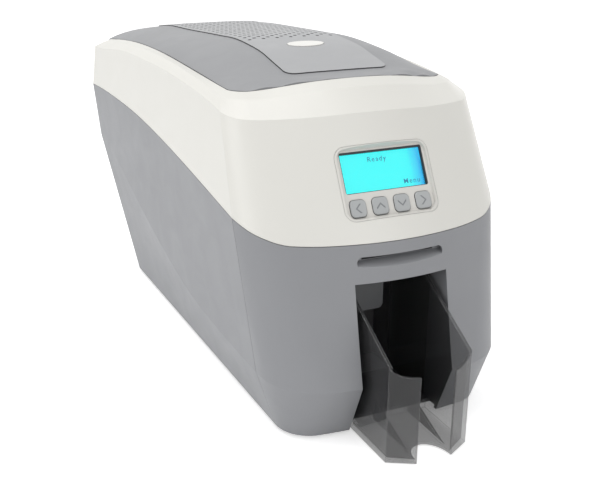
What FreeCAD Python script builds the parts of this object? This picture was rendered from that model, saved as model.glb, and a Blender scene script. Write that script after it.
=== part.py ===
import FreeCAD, Part
import math
import os
import re
from collections import namedtuple

import Sketcher
from FreeCAD import Placement, Rotation, Vector

os.makedirs("parts", exist_ok=True)
doc = FreeCAD.newDocument("card_printer")

# Desktop printer for plastic identity cards, in millimetres.
# X points to the right seen from the front, Y to the rear and Z up.
# The origin lies on the table under the middle of the printer and its hopper.
# A "set" is a distance back from the front of the casing seam, and a "height"
# is measured from the bottom edge of the casing.

SIZES = {
    # casing, lower half
    "body_length": 413, "seam_half_width": 103, "feet_height": 3, "shell_wall": 3,
    "parting_gap": 0.4, "rear_corner_radius": 4, "seam_bow_radius": 180, "seam_turn": 12,
    "seam_corner_set": 60, "seam_front_height": 136.5, "seam_peak_height": 176.1,
    "base_half_front": 80, "base_half_rear": 81, "base_front_reach": 2,
    "base_corner_set": 27, "base_rear_inset": 54, "base_bow_radius": 450,
    "chamfer_half_front": 92, "chamfer_half_rear": 98, "chamfer_front_reach": 19.5,
    "chamfer_corner_set": 30, "chamfer_bow_radius": 320,
    "chamfer_front_height": 40.3, "chamfer_rear_height": 124,
    "joint_high_set": 50, "joint_low_set": 27, "rear_panel_half": 76,
    # casing, upper half
    "shoulder_half_front": 98, "shoulder_half_rear": 99, "shoulder_front_set": 42,
    "shoulder_corner_set": 88, "shoulder_bow_radius": 180,
    "shoulder_dip_height": 211.5, "shoulder_peak_height": 223,
    "rim_half_width": 91, "rim_front_set": 62, "rim_corner_set": 97, "rim_bow_radius": 198,
    "rim_dip_height": 221.8, "rim_peak_height": 228.5,
    "opening_half_width": 84.6, "opening_front_set": 73, "opening_corner_set": 102,
    "opening_bow_radius": 198, "opening_rear_inset": 6.6,
    "opening_dip_height": 225, "opening_peak_height": 228.3,
    "lip_depth": 20,
    # lid
    "lid_gap": 0.6, "lid_wall": 3, "skirt_depth": 10,
    "crown_front_height": 232.8, "crown_peak_height": 245, "crown_power": 4,
    "hinge_radius": 11, "hinge_wall": 3, "hinge_cheek": 8, "hinge_drop": 11,
    "hinge_pin_radius": 3, "hinge_pin_gap": 0.05, "hinge_sweep_gap": 0.8, "hinge_skirt": 8.8,
    "strip_half_width": 41, "strip_front_set": 96, "strip_rear_set": 392,
    "strip_corner_radius": 8, "strip_thickness": 1.6, "strip_proud": 0.8, "strip_gap": 0.15,
    "vent_hole_radius": 1.6, "vent_pitch_across": 5.8, "vent_pitch_along": 10,
    "vent_front_set": 180, "vent_rear_set": 374, "vent_margin": 4.5,
    "button_set": 153, "button_half_wide": 15, "button_half_deep": 8, "button_gap": 0.3,
    "button_proud": 1.2, "button_travel": 2, "button_flange": 1.6, "button_stem_radius": 3,
    # display and keys
    "display_up": 41.9, "display_width": 72.2, "display_height": 51.2, "display_corner": 8,
    "display_gap": 0.15, "display_sunk": 4.6, "display_plate": 2.2, "display_back": 8.5,
    "display_taper": 2.4, "display_edge": 0.5, "display_rim": 1.2,
    "window_width": 63.9, "window_height": 28.4, "window_up": 7.9, "window_corner": 1.5,
    "glass_lap": 1.2, "glass_corner": 4.5, "glass_thickness": 1.2, "lcd_thickness": 6, "lcd_lap": 2.5,
    "key_size": 12.1, "key_corner": 3.2, "key_pitch": 16.8, "key_drop": 16.6, "key_gap": 0.25,
    "key_proud": 0.9, "key_travel": 0.8, "key_flange": 0.5, "key_flange_thickness": 1,
    "key_edge": 0.5, "board_thickness": 1.6, "keypad_margin": 3,
    # front openings
    "bay_half_width": 35.6, "bay_top_height": 110.4, "jamb_wall": 2, "jamb_set": 17,
    "slot_half_width": 33.1, "slot_height": 7.6, "slot_middle_height": 124.2,
    "scoop_front_set": -3, "scoop_rear_set": 5, "scoop_wall": 2, "scoop_step": 0.3,
    "card_gap": 1.4, "card_half_width": 27.6, "tray_front_set": 7.3, "tray_rear_set": 98,
    "tray_thickness": 1.5, "tray_mouth_length": 9, "funnel_length": 4, "funnel_flare": 1.2,
    # hopper
    "hopper_half_width": 31.8, "hopper_wall": 2.2, "hopper_reach": 54.5,
    "hopper_wall_reach": 44.3, "hopper_clearance": 1, "hopper_front_height": 68.3,
    "hopper_rear_height": 101, "hopper_slope_set": 15, "hopper_rear_set": 62,
    "hopper_step_set": 8, "hopper_step_height": 3.3, "finger_half_gap": 13.5,
    "flap_dip": 7, "flap_low_inset": 4.6, "notch_depth": 20, "rib_half_pitch": 14, "rib_width": 1.8,
    "rib_height": 17,
    # base, chassis and what stands on it
    "tray_floor": 3, "tray_rim_height": 14, "tray_rim_wall": 2.4, "cover_gap": 0.5,
    "tray_notch_set": 11.5,
    "foot_radius": 8, "foot_peg_radius": 2.5, "foot_front_set": 34, "foot_rear_set": 335,
    "foot_half_pitch": 62, "peg_height": 5,
    "frame_half_gap": 40, "frame_wall": 1.5, "frame_front_set": 45, "frame_rear_set": 378,
    "frame_foot_set": 349, "frame_top_height": 200, "frame_nose_height": 152,
    "frame_tail_height": 150, "frame_heel_height": 96, "frame_shoulder_run": 52,
    "crossbar_radius": 4, "crossbar_low_height": 14, "crossbar_high_height": 190,
    "bay_rear_set": 95, "bay_wall": 2, "bay_clear": 0.3, "gate_clear": 0.5,
    "gate_thickness": 2, "gate_low_height": 82, "gate_right": -4, "gate_corner": 4,
    # card path
    "path_height": 125.4, "card_clearance": 0.4, "shaft_radius": 3, "shaft_gap": 0.05,
    "bush_wall": 2, "bush_flange": 1.2, "shaft_tail": 4,
    "feed_radius": 8, "feed_length": 58, "platen_radius": 10, "platen_length": 60,
    "pinch_radius": 6, "cleaner_radius": 9,
    "front_roller_set": 112, "platen_set": 205, "rear_roller_set": 300, "cleaner_set": 70,
    "pulley_radius": 9, "pulley_width": 6, "pulley_flange": 1.2, "pulley_lip": 1.5,
    "pulley_offset": 2, "belt_thickness": 1.4, "belt_gap": 0.3, "motor_pulley_radius": 6,
    "motor_radius": 18, "motor_length": 38, "motor_height": 58,
    # ribbon
    "spool_core_radius": 9, "spool_flange_radius": 21, "spool_flange_wall": 1.5,
    "spool_half_length": 37, "film_half_width": 30, "supply_roll_radius": 17,
    "takeup_roll_radius": 13, "spool_height": 165, "supply_set": 268, "takeup_set": 143,
    "film_thickness": 0.4, "film_gap": 0.4,
    "gear_module": 1, "gear_width": 5, "gear_offset": 2.5, "tooth_backlash": 0.5,
    "ribbon_motor_radius": 10, "ribbon_motor_length": 22, "motor_plate_wall": 1.5,
    "motor_plate_half": 20, "spacer_radius": 2.5,
    # print head
    "head_length": 62, "head_width": 13, "head_thickness": 7, "sink_width": 26,
    "sink_height": 22, "sink_base": 5, "fin_thickness": 1.5, "bracket_wall": 2,
    "bracket_top_height": 226, "rail_width": 7,
    # latch
    "latch_set": 180, "latch_height": 226, "latch_wall": 3, "latch_width": 12,
    "latch_drop": 38, "latch_nose": 4, "latch_clear": 1.3, "latch_pin_radius": 2,
    "striker_radius": 2.5, "striker_height": 194, "arm_clear": 0.4,
    # electronics and rear sockets
    "mainboard_front_set": 210, "mainboard_length": 150, "mainboard_low_height": 20,
    "mainboard_height": 85, "mainboard_standoff": 8, "standoff_radius": 3,
    "chip_size": 22, "chip_height": 3,
    "supply_front_set": 245, "supply_length": 95, "supply_height": 42, "supply_half_width": 36,
    "port_height": 150, "inlet_x": 51, "inlet_width": 27, "inlet_height": 20,
    "inlet_depth": 22, "inlet_flange": 3, "inlet_lip": 2, "pin_width": 4, "pin_thickness": 2,
    "pin_pitch": 7, "pin_length": 14,
    "switch_x": 24, "switch_width": 13, "switch_height": 19, "switch_depth": 14,
    "switch_frame": 2, "switch_lip": 1.4, "rocker_proud": 1, "switch_gap": 0.4, "switch_tilt": 8,
    "usb_x": 2, "usb_width": 12, "usb_height": 11, "usb_depth": 16, "usb_wall": 1,
    "network_x": -20, "network_width": 16, "network_height": 13.5, "network_depth": 20,
    "network_wall": 1.4, "port_gap": 0.2,
    "fan_x": -52, "fan_size": 40, "fan_depth": 10, "fan_bore_radius": 18.5,
    "fan_hub_radius": 8, "fan_blade_radius": 17.8, "fan_axle_radius": 2,
    "fan_blade_thickness": 1.2, "fan_slot_height": 2.6, "fan_slot_pitch": 5.2,
    "lock_x": 68, "lock_width": 3, "lock_height": 7, "lock_drop": 20,
    "screw_radius": 2, "screw_head_radius": 3.6, "screw_head_height": 2, "screw_length": 9,
    "screw_half_pitch": 68, "screw_front_set": 62, "screw_rear_set": 305,
    "boss_radius": 5, "overrun": 5,
}

PLACES = {
    "front_y": "(hopper_reach - body_length - inlet_lip) / 2",
    "rear_y": "front_y + body_length",
    "path_z": "feet_height + path_height",
    "floor_z": "feet_height + tray_floor",
    "frame_outer": "frame_half_gap + frame_wall",
    "bush_radius": "shaft_radius + bush_wall",
    "low_roller_z": "path_z - card_clearance - feed_radius",
    "platen_z": "path_z - card_clearance - platen_radius",
    "pinch_z": "path_z + card_clearance + pinch_radius",
    "cleaner_z": "path_z + card_clearance + cleaner_radius",
    "spool_z": "feet_height + spool_height",
    "hinge_y": "rear_y - hinge_radius",
    "striker_y": "front_y + latch_set - latch_wall / 2 - latch_nose - latch_clear"
                 " - striker_radius",
}

WORD = re.compile(r"[a-z_]+")


def linked(text):
    """Expression text in which every named size points at its sheet."""
    def owner(match):
        word = match.group(0)
        if word in SIZES:
            return "Sizes." + word
        return "Places." + word if word in PLACES else word
    return WORD.sub(owner, text)


def fill_sheet(name, rows):
    sheet = doc.addObject("Spreadsheet::Sheet", name)
    for row, (alias, content) in enumerate(rows.items(), start=1):
        sheet.set(f"A{row}", alias)
        sheet.set(f"B{row}", str(content))
        sheet.setAlias(f"B{row}", alias)
    return sheet


sizes = fill_sheet("Sizes", SIZES)
doc.recompute()
places = fill_sheet("Places", {})
for row, (alias, text) in enumerate(PLACES.items(), start=1):
    places.set(f"A{row}", alias)
    places.setAlias(f"B{row}", alias)
    places.set(f"B{row}", "=" + linked(text).replace("Places.", ""))
doc.recompute()
mm = namedtuple("mm", [*SIZES, *PLACES])(
    *[float(sizes.get(alias)) for alias in SIZES], *[float(places.get(alias)) for alias in PLACES])

subparts = []


def keep(piece, label):
    """Name a finished sub-part, which is written to a file of that name."""
    piece.Label = label
    subparts.append(piece)
    return piece


def bind(piece, **texts):
    for prop, text in texts.items():
        piece.setExpression(prop, linked(text))


def seat(piece, x, y, z):
    for axis, text in zip("xyz", (x, y, z)):
        piece.setExpression("Placement.Base." + axis, linked(text))


def box(name, wide, deep, high, x, y, z):
    """Block whose low corner is at y, z, centred on x."""
    block = doc.addObject("Part::Box", name)
    bind(block, Length=wide, Width=deep, Height=high)
    seat(block, f"({x}) - ({wide}) / 2", y, z)
    return block


TURNS = {"X": Rotation(Vector(0, 1, 0), 90), "Y": Rotation(Vector(1, 0, 0), -90), "Z": Rotation()}


def rod(name, along, radius, length, x, y, z):
    """Cylinder that starts at x, y, z and runs in the positive direction of an axis."""
    cylinder = doc.addObject("Part::Cylinder", name)
    cylinder.Placement = Placement(Vector(), TURNS[along])
    bind(cylinder, Radius=radius, Height=length)
    seat(cylinder, x, y, z)
    return cylinder


def fuse(name, *pieces):
    joined = doc.addObject("Part::MultiFuse", name)
    joined.Shapes = list(pieces)
    joined.Refine = True
    return joined


def cut(name, base, *tools):
    result = doc.addObject("Part::Cut", name)
    result.Base = base
    result.Tool = tools[0] if len(tools) == 1 else fuse(name + "_tools", *tools)
    return result


def group(name, pieces):
    """Separate solids that are one kind of piece and share a node."""
    bundle = doc.addObject("Part::Compound", name)
    bundle.Links = list(pieces)
    return bundle


def solid(name, shape, place=None):
    """A shape worked out from the sheet's values."""
    piece = doc.addObject("Part::Feature", name)
    piece.Shape = shape
    if place is not None:
        piece.Placement = place
    return piece


def origin_plane(body, role):
    return next(item for item in body.Origin.OriginFeatures if item.Role == role)


def start_sketch(body, name, role, offset):
    sketch = body.newObject("Sketcher::SketchObject", name)
    sketch.AttachmentSupport = (origin_plane(body, role), [""])
    sketch.MapMode = "FlatFace"
    sketch.setExpression("AttachmentOffset.Base.z", linked(offset))
    return sketch


def hold_point(sketch, geometry, end, across, up):
    for kind, text in (("DistanceX", across), ("DistanceY", up)):
        index = sketch.addConstraint(Sketcher.Constraint(kind, geometry, end, 1.0))
        sketch.setExpression(f"Constraints[{index}]", linked(text))


def draw_outline(sketch, corners):
    """Closed outline of straight edges through corners written as expressions."""
    count = len(corners)
    turn = 2 * math.pi / count
    spots = [Vector(-math.cos(turn * i), -math.sin(turn * i), 0) for i in range(count)]
    for i in range(count):
        sketch.addGeometry(Part.LineSegment(spots[i], spots[(i + 1) % count]))
    first = sketch.GeometryCount - count
    for i in range(count):
        after = first + (i + 1) % count
        sketch.addConstraint(Sketcher.Constraint("Coincident", first + i, 2, after, 1))
    for i, (across, up) in enumerate(corners):
        hold_point(sketch, first + i, 1, across, up)


def draw_circle(sketch, across, up, radius):
    index = sketch.addGeometry(Part.Circle(Vector(), Vector(0, 0, 1), 1))
    hold_point(sketch, index, 3, across, up)
    radial = sketch.addConstraint(Sketcher.Constraint("Radius", index, 1.0))
    sketch.setExpression(f"Constraints[{radial}]", linked(radius))


def padded(name, role, offset, thickness, draw):
    """Body padded from one sketch, from the offset along the plane's normal."""
    body = doc.addObject("PartDesign::Body", name)
    sketch = start_sketch(body, name + "_outline", role, offset)
    draw(sketch)
    pad = body.newObject("PartDesign::Pad", name + "_pad")
    pad.Profile = sketch
    pad.setExpression("Length", linked(thickness))
    sketch.Visibility = False
    return body


def rectangle(left, right, low, high):
    return [(left, low), (right, low), (right, high), (left, high)]


# Outer form of the casing: closed rings, seen from above as a bowed front with
# round corners, long sides and a straight rear, each lifted to a side profile.

def smooth(length_shares, height_shares, low, high):
    """Height at a set, along a curve that keeps every rise and fall of its shares."""
    at = [share * mm.body_length for share in length_shares]
    up = [low + share * (high - low) for share in height_shares]
    steps = range(len(at) - 1)
    slope = [(up[i + 1] - up[i]) / (at[i + 1] - at[i]) for i in steps]
    tangent = [slope[0]]
    for before, after in zip(slope, slope[1:]):
        level = before * after <= 0
        tangent.append(0 if level else 2 * before * after / (before + after))
    tangent.append(slope[-1])

    def height(y):
        y = min(max(y, at[0]), at[-1])
        i = max(k for k in steps if at[k] <= y)
        span = at[i + 1] - at[i]
        t = (y - at[i]) / span
        ease = t * t * (3 - 2 * t)
        return (up[i] * (1 - ease) + up[i + 1] * ease
                + span * t * (1 - t) * (tangent[i] * (1 - t) - tangent[i + 1] * t))
    return height


seam_height = smooth(
    (0, 0.029, 0.068, 0.121, 0.234, 0.371, 0.488, 0.615, 0.732, 0.859, 0.976, 1),
    (0, 0, 0.13, 0.33, 0.495, 0.687, 0.826, 0.94, 0.995, 1, 0.96, 0.95),
    mm.seam_front_height, mm.seam_peak_height)
chamfer_height = smooth(
    (-0.051, 0.07, 0.195, 0.368, 0.557, 0.736, 0.889, 0.976, 1),
    (0, 0.01, 0.026, 0.092, 0.307, 0.606, 0.892, 1, 1.006),
    mm.chamfer_front_height, mm.chamfer_rear_height)
shoulder_height = smooth(
    (0.092, 0.121, 0.15, 0.213, 0.262, 0.356, 0.506, 0.656, 0.758, 0.976, 1),
    (0.435, 0.13, 0.04, 0.39, 0.61, 0.83, 1, 0.91, 0.74, -0.13, -0.15),
    mm.shoulder_dip_height, mm.shoulder_peak_height)
rim_height = smooth(
    (0.15, 0.177, 0.213, 0.266, 0.371, 0.569, 0.773, 0.976, 1),
    (1, 0.18, 0, 0.24, 0.7, 1, 0.42, -1.12, -1.39),
    mm.rim_dip_height, mm.rim_peak_height)
opening_height = smooth(
    (0.177, 0.189, 0.211, 0.263, 0.346, 0.46, 0.584, 0.726, 0.83, 0.976, 1),
    (2.36, 1.5, 0.15, 0, 0.3, 0.7, 1, 0.61, -0.39, -2.5, -3.03),
    mm.opening_dip_height, mm.opening_peak_height)
crown_height = smooth(
    (0.177, 0.218, 0.278, 0.363, 0.46, 0.557, 0.654, 0.751, 0.847, 0.932, 1),
    (0, 0.01, 0.344, 0.852, 1, 0.787, 0.541, 0.295, 0.107, -0.262, -0.664),
    mm.crown_front_height, mm.crown_peak_height)

Ring = namedtuple("Ring", "half_front half_rear front corner rear bow turn height")

BASE = Ring(mm.base_half_front, mm.base_half_rear, -mm.base_front_reach, mm.base_corner_set,
            mm.body_length - mm.base_rear_inset, mm.base_bow_radius, 0, lambda y: 0)
CHAMFER = Ring(mm.chamfer_half_front, mm.chamfer_half_rear, -mm.chamfer_front_reach,
               mm.chamfer_corner_set, mm.body_length, mm.chamfer_bow_radius, 0, chamfer_height)
SEAM = Ring(mm.seam_half_width, mm.seam_half_width, 0, mm.seam_corner_set,
            mm.body_length, mm.seam_bow_radius, mm.seam_turn, seam_height)
SHOULDER = Ring(mm.shoulder_half_front, mm.shoulder_half_rear, mm.shoulder_front_set,
                mm.shoulder_corner_set, mm.body_length, mm.shoulder_bow_radius, mm.seam_turn,
                shoulder_height)
RIM = Ring(mm.rim_half_width, mm.rim_half_width, mm.rim_front_set, mm.rim_corner_set,
           mm.body_length, mm.rim_bow_radius, 0, rim_height)
OPENING = Ring(mm.opening_half_width, mm.opening_half_width, mm.opening_front_set,
               mm.opening_corner_set, mm.body_length - mm.opening_rear_inset,
               mm.opening_bow_radius, 0, opening_height)


def arc_points(centre, radius, start, end, count):
    step = (end - start) / count
    return [centre + Vector(math.cos(start + step * i), math.sin(start + step * i), 0) * radius
            for i in range(count + 1)]


def mirrored(points):
    return [Vector(-point.x, point.y, 0) for point in reversed(points)]


def front_plan(ring, inset):
    """Centres and radii of the bowed front and of its corners, and where they meet."""
    half_front = ring.half_front - inset
    bow = ring.bow - inset
    depth = ring.corner - ring.front - inset
    corner = (bow ** 2 - half_front ** 2 - (bow - depth) ** 2) / (2 * (bow - half_front))
    bow_centre = Vector(0, ring.front + inset + bow, 0)
    corner_centre = Vector(half_front - corner, ring.corner, 0)
    toward = corner_centre - bow_centre
    return bow_centre, bow, corner_centre, corner, math.atan2(toward.y, toward.x)


def plan_runs(ring, inset):
    """Runs of points round a ring, seen from above, from the front left corner on.

    A front corner stops short of the side by the ring's turn, which leaves a crease.
    """
    bow_centre, bow, corner_centre, corner, meet = front_plan(ring, inset)
    half_rear = ring.half_rear - inset
    round_rear = mm.rear_corner_radius
    rear_centre = Vector(half_rear - round_rear, ring.rear - inset - round_rear, 0)
    front = arc_points(bow_centre, bow, -math.pi - meet, meet, 8)
    front_corner = arc_points(corner_centre, corner, meet, -math.radians(ring.turn), 5)
    rear_corner = arc_points(rear_centre, round_rear, 0, math.pi / 2, 4)
    start, end = front_corner[-1], rear_corner[0]
    side = [start + (end - start) * (i / 8) for i in range(9)]
    rear = [rear_corner[-1], mirrored(rear_corner)[0]]
    return [front, front_corner, side, rear_corner, rear,
            mirrored(rear_corner), mirrored(side), mirrored(front_corner)]


def ring_wire(ring, inset=0, drop=0, level=None):
    """A ring's closed edge in space, drawn in by an inset and lowered by a drop."""
    edges = []
    for run in plan_runs(ring, inset):
        points = []
        for spot in run:
            height = ring.height(spot.y) - drop if level is None else level
            points.append(Vector(spot.x, mm.front_y + spot.y, mm.feet_height + height))
        if len(points) == 2:
            edges.append(Part.LineSegment(*points).toShape())
        else:
            curve = Part.BSplineCurve()
            curve.interpolate(points)
            edges.append(curve.toShape())
    return Part.Wire(edges)


def loft(wires, closed=False):
    return Part.makeLoft(wires, True, True, closed)


def lower_skin():
    """The lower half as one wall, before it is parted into its covers."""
    inner = mm.shell_wall
    half_gap = mm.parting_gap / 2
    return loft([ring_wire(BASE), ring_wire(CHAMFER), ring_wire(SEAM, 0, half_gap),
                 ring_wire(SEAM, inner, half_gap), ring_wire(CHAMFER, inner),
                 ring_wire(BASE, inner)], closed=True)


def lower_core(inset):
    """Everything inside the lower skin, drawn in by an inset."""
    top = mm.seam_peak_height + mm.overrun
    return loft([ring_wire(BASE, inset), ring_wire(CHAMFER, inset), ring_wire(SEAM, inset),
                 ring_wire(SEAM, inset, level=top)])


def upper_core(inset):
    """Everything inside the upper skin, drawn in by an inset."""
    low = mm.seam_front_height - mm.overrun
    top = mm.crown_peak_height + mm.overrun
    return loft([ring_wire(SEAM, inset, level=low), ring_wire(SEAM, inset),
                 ring_wire(SHOULDER, inset, inset), ring_wire(RIM, inset, inset),
                 ring_wire(OPENING, inset, inset), ring_wire(OPENING, inset, level=top)])


def front_side(shift):
    """Everything before the raked joint between front bezel and side covers."""
    rake = (mm.joint_high_set - mm.joint_low_set) / seam_height(mm.joint_high_set)
    low = -mm.overrun
    high = mm.seam_peak_height + mm.overrun
    far = -mm.chamfer_front_reach - mm.overrun
    reach = mm.seam_half_width + mm.overrun
    corners = [(far, low), (mm.joint_low_set + rake * low + shift, low),
               (mm.joint_low_set + rake * high + shift, high), (far, high)]
    points = [Vector(-reach, mm.front_y + y, mm.feet_height + z) for y, z in corners]
    return Part.Face(Part.makePolygon(points + points[:1])).extrude(Vector(2 * reach, 0, 0))


def span_box(left, right, near, far, low, high):
    """Block between named places: x, then set from the front seam, then height."""
    return Part.makeBox(right - left, far - near, high - low,
                        Vector(left, mm.front_y + near, mm.feet_height + low))


def stadium(half_width, high, depth):
    """Bar with round ends, lying along X, extruded back along Y."""
    radius = high / 2
    run = half_width - radius
    bar = Part.makeBox(2 * run, depth, high, Vector(-run, 0, -radius))
    ends = [Part.makeCylinder(radius, depth, Vector(side * run, 0, 0), Vector(0, 1, 0))
            for side in (-1, 1)]
    return bar.fuse(ends)


skin = lower_skin()
half_gap = mm.parting_gap / 2
whole = mm.seam_peak_height + mm.overrun
wide = mm.seam_half_width + mm.overrun
behind = mm.body_length + mm.overrun


def side_prism(profile, reach):
    """Prism along X through a closed outline of sets and heights."""
    points = [Vector(-reach, mm.front_y + y, mm.feet_height + z) for y, z in profile]
    return Part.Face(Part.makePolygon(points + points[:1])).extrude(Vector(2 * reach, 0, 0))


def slot_scoop():
    """Hollow of the hand-feed slot: a level roof and a floor that ramps up to the slit."""
    far = mm.scoop_front_set - mm.chamfer_front_reach
    low = mm.slot_middle_height - mm.slot_height / 2
    high = mm.slot_middle_height + mm.slot_height / 2
    slit = mm.path_height - mm.card_gap / 2 - mm.scoop_step
    ramp = side_prism([(far, low), (mm.scoop_front_set, low), (mm.scoop_rear_set, slit),
                       (mm.scoop_rear_set, high), (far, high)], mm.slot_half_width)
    bar = stadium(mm.slot_half_width, mm.slot_height, mm.scoop_rear_set - far)
    bar.translate(Vector(0, mm.front_y + far, mm.feet_height + mm.slot_middle_height))
    return bar.common(ramp)


def front_bezel():
    """Front cover with the hopper doorway, its jamb and the hand-feed slot."""
    shape = skin.common(front_side(-half_gap))
    clear = mm.bay_half_width
    outer = clear + mm.jamb_wall
    far = -mm.chamfer_front_reach - mm.overrun
    jamb = span_box(-outer, outer, far, mm.jamb_set, mm.tray_floor + mm.cover_gap,
                    mm.bay_top_height + mm.jamb_wall)
    reach = mm.slot_half_width + mm.scoop_wall
    rise = mm.slot_height / 2 + mm.scoop_wall
    pocket = span_box(-reach, reach, far, mm.scoop_rear_set + mm.scoop_wall,
                      mm.slot_middle_height - rise, mm.slot_middle_height + rise)
    shape = shape.fuse([block.common(lower_core(mm.shell_wall / 2)) for block in (jamb, pocket)])
    doorway = span_box(-clear, clear, far, mm.jamb_set + mm.overrun, -mm.overrun,
                       mm.bay_top_height)
    half_card = mm.card_gap / 2
    slit = span_box(-mm.card_half_width, mm.card_half_width, 0, mm.tray_front_set,
                    mm.path_height - half_card, mm.path_height + half_card)
    return shape.cut([doorway, slot_scoop(), slit])


def side_cover(side):
    """Long side wall with its faceted lower edge, wrapped round the rear corner."""
    near = mm.rear_panel_half + half_gap
    ends = sorted((side * near, side * wide))
    zone = span_box(ends[0], ends[1], -mm.chamfer_front_reach, behind, -mm.overrun, whole)
    return skin.common(zone).cut(front_side(half_gap))


def fan_slots():
    """Slots in the rear panel over the fan, each as long as the fan's bore there."""
    slots = []
    reach = mm.fan_bore_radius
    count = int(reach / mm.fan_slot_pitch)
    for i in range(-count, count + 1):
        up = i * mm.fan_slot_pitch
        half = math.sqrt(reach ** 2 - up ** 2)
        middle = mm.port_height + up
        slots.append(span_box(mm.fan_x - half, mm.fan_x + half,
                              mm.body_length - 2 * mm.shell_wall, behind,
                              middle - mm.fan_slot_height / 2, middle + mm.fan_slot_height / 2))
    return slots


def port_hole(x, width, height, middle):
    inner = mm.body_length - 2 * mm.shell_wall
    half_wide = width / 2 + mm.port_gap
    half_high = height / 2 + mm.port_gap
    return span_box(x - half_wide, x + half_wide, inner, behind,
                    middle - half_high, middle + half_high)


def rear_panel():
    """Rear wall with its lower slope, cut for the sockets, the fan and a lock slot."""
    half = mm.rear_panel_half - half_gap
    zone = span_box(-half, half, mm.body_length / 2, behind, -mm.overrun, whole)
    holes = [port_hole(mm.inlet_x, mm.inlet_width, mm.inlet_height, mm.port_height),
             port_hole(mm.switch_x, mm.switch_width, mm.switch_height, mm.port_height),
             port_hole(mm.usb_x, mm.usb_width, mm.usb_height, mm.port_height),
             port_hole(mm.network_x, mm.network_width, mm.network_height, mm.port_height),
             port_hole(mm.lock_x, mm.lock_width, mm.lock_height, mm.port_height - mm.lock_drop)]
    return skin.common(zone).cut(holes + fan_slots())


keep(solid("front_bezel_shape", front_bezel()), "front_bezel")
keep(solid("side_cover_left_shape", side_cover(-1)), "side_cover_left")
keep(solid("side_cover_right_shape", side_cover(1)), "side_cover_right")
keep(solid("rear_panel_shape", rear_panel()), "rear_panel")

# Upper shell: the white moulding round the lid, with the leaning front that
# carries the display, and the bosses in which the hinge pins sit.

hinge_z = mm.feet_height + opening_height(mm.body_length) - mm.hinge_drop
lean = math.atan2(mm.shoulder_front_set, shoulder_height(mm.shoulder_front_set)
                  - seam_height(0))
display_turn = Rotation(Vector(1, 0, 0), 90 - math.degrees(lean))
display_foot = Vector(0, mm.front_y, mm.feet_height + seam_height(0))


def on_display(up, out, across=0):
    """Placement on the leaning front: a distance up its slope and out of its face."""
    offset = display_turn.multVec(Vector(across, mm.display_up + up, out))
    return Placement(display_foot + offset, display_turn)


def rounded_plate(width, height, radius, thickness):
    """Flat plate with round corners, centred, from its back face up."""
    half_wide = width / 2 - radius
    half_high = height / 2 - radius
    slabs = [Part.makeBox(width, 2 * half_high, thickness, Vector(-width / 2, -half_high, 0)),
             Part.makeBox(2 * half_wide, height, thickness, Vector(-half_wide, -height / 2, 0))]
    rounds = [Part.makeCylinder(radius, thickness, Vector(i * half_wide, j * half_high, 0))
              for i in (-1, 1) for j in (-1, 1)]
    return slabs[0].fuse(slabs[1:] + rounds).removeSplitter()


def rounded_wire(width, height, radius, level):
    face = max(rounded_plate(width, height, radius, 1).Faces, key=lambda f: f.CenterOfMass.z)
    wire = face.OuterWire
    wire.translate(Vector(0, 0, level - 1))
    return wire


def at_display(shape, up, out):
    moved = shape.copy()
    moved.Placement = on_display(up, out).multiply(shape.Placement)
    return moved


def upper_shell():
    inner = mm.shell_wall
    lift = -mm.parting_gap / 2
    shape = loft([ring_wire(SEAM, 0, lift), ring_wire(SHOULDER), ring_wire(RIM),
                  ring_wire(OPENING), ring_wire(OPENING, 0, mm.lip_depth),
                  ring_wire(OPENING, -inner, mm.lip_depth),
                  ring_wire(OPENING, -inner, 2 * inner),
                  ring_wire(SHOULDER, inner, inner), ring_wire(SEAM, inner, lift)], closed=True)
    half = mm.opening_half_width
    swing = half + mm.parting_gap
    rear_gap = span_box(-swing, swing, mm.body_length - 3 * mm.hinge_radius, behind,
                        hinge_z - mm.feet_height - mm.hinge_skirt - mm.hinge_sweep_gap,
                        mm.crown_peak_height)
    frame = rounded_plate(mm.display_width + 2 * mm.display_gap,
                          mm.display_height + 2 * mm.display_gap,
                          mm.display_corner + mm.display_gap, 4 * mm.display_back)
    frame = at_display(frame, 0, -2 * mm.display_back)
    bore = Part.makeCylinder(mm.hinge_pin_radius, 2 * (half + inner),
                             Vector(-half - inner, mm.hinge_y, hinge_z), Vector(1, 0, 0))
    return shape.cut([rear_gap, frame, bore])


keep(solid("upper_shell_shape", upper_shell()), "upper_shell")


def hinge_pins():
    length = mm.hinge_cheek + mm.shell_wall
    half = mm.opening_half_width + mm.shell_wall
    starts = (-half, half - length)
    return Part.makeCompound([
        Part.makeCylinder(mm.hinge_pin_radius, length, Vector(start, mm.hinge_y, hinge_z),
                          Vector(1, 0, 0)) for start in starts])


keep(solid("lid_hinge_pins_shape", hinge_pins()), "lid_hinge_pins")

# Lid: a crowned grey cover from the front of the printer to its rear face, with
# a skirt, a rolled rear edge round the hinge and a lighter strip let into its top.

def opening_half(y):
    """Half width of the lid's opening at a set."""
    bow_centre, bow, corner_centre, corner, meet = front_plan(OPENING, 0)
    if y >= OPENING.corner:
        return OPENING.half_front
    if y > corner_centre.y + corner * math.sin(meet):
        return corner_centre.x + math.sqrt(corner ** 2 - (corner_centre.y - y) ** 2)
    return math.sqrt(max(0, bow ** 2 - (bow_centre.y - y) ** 2))


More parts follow.
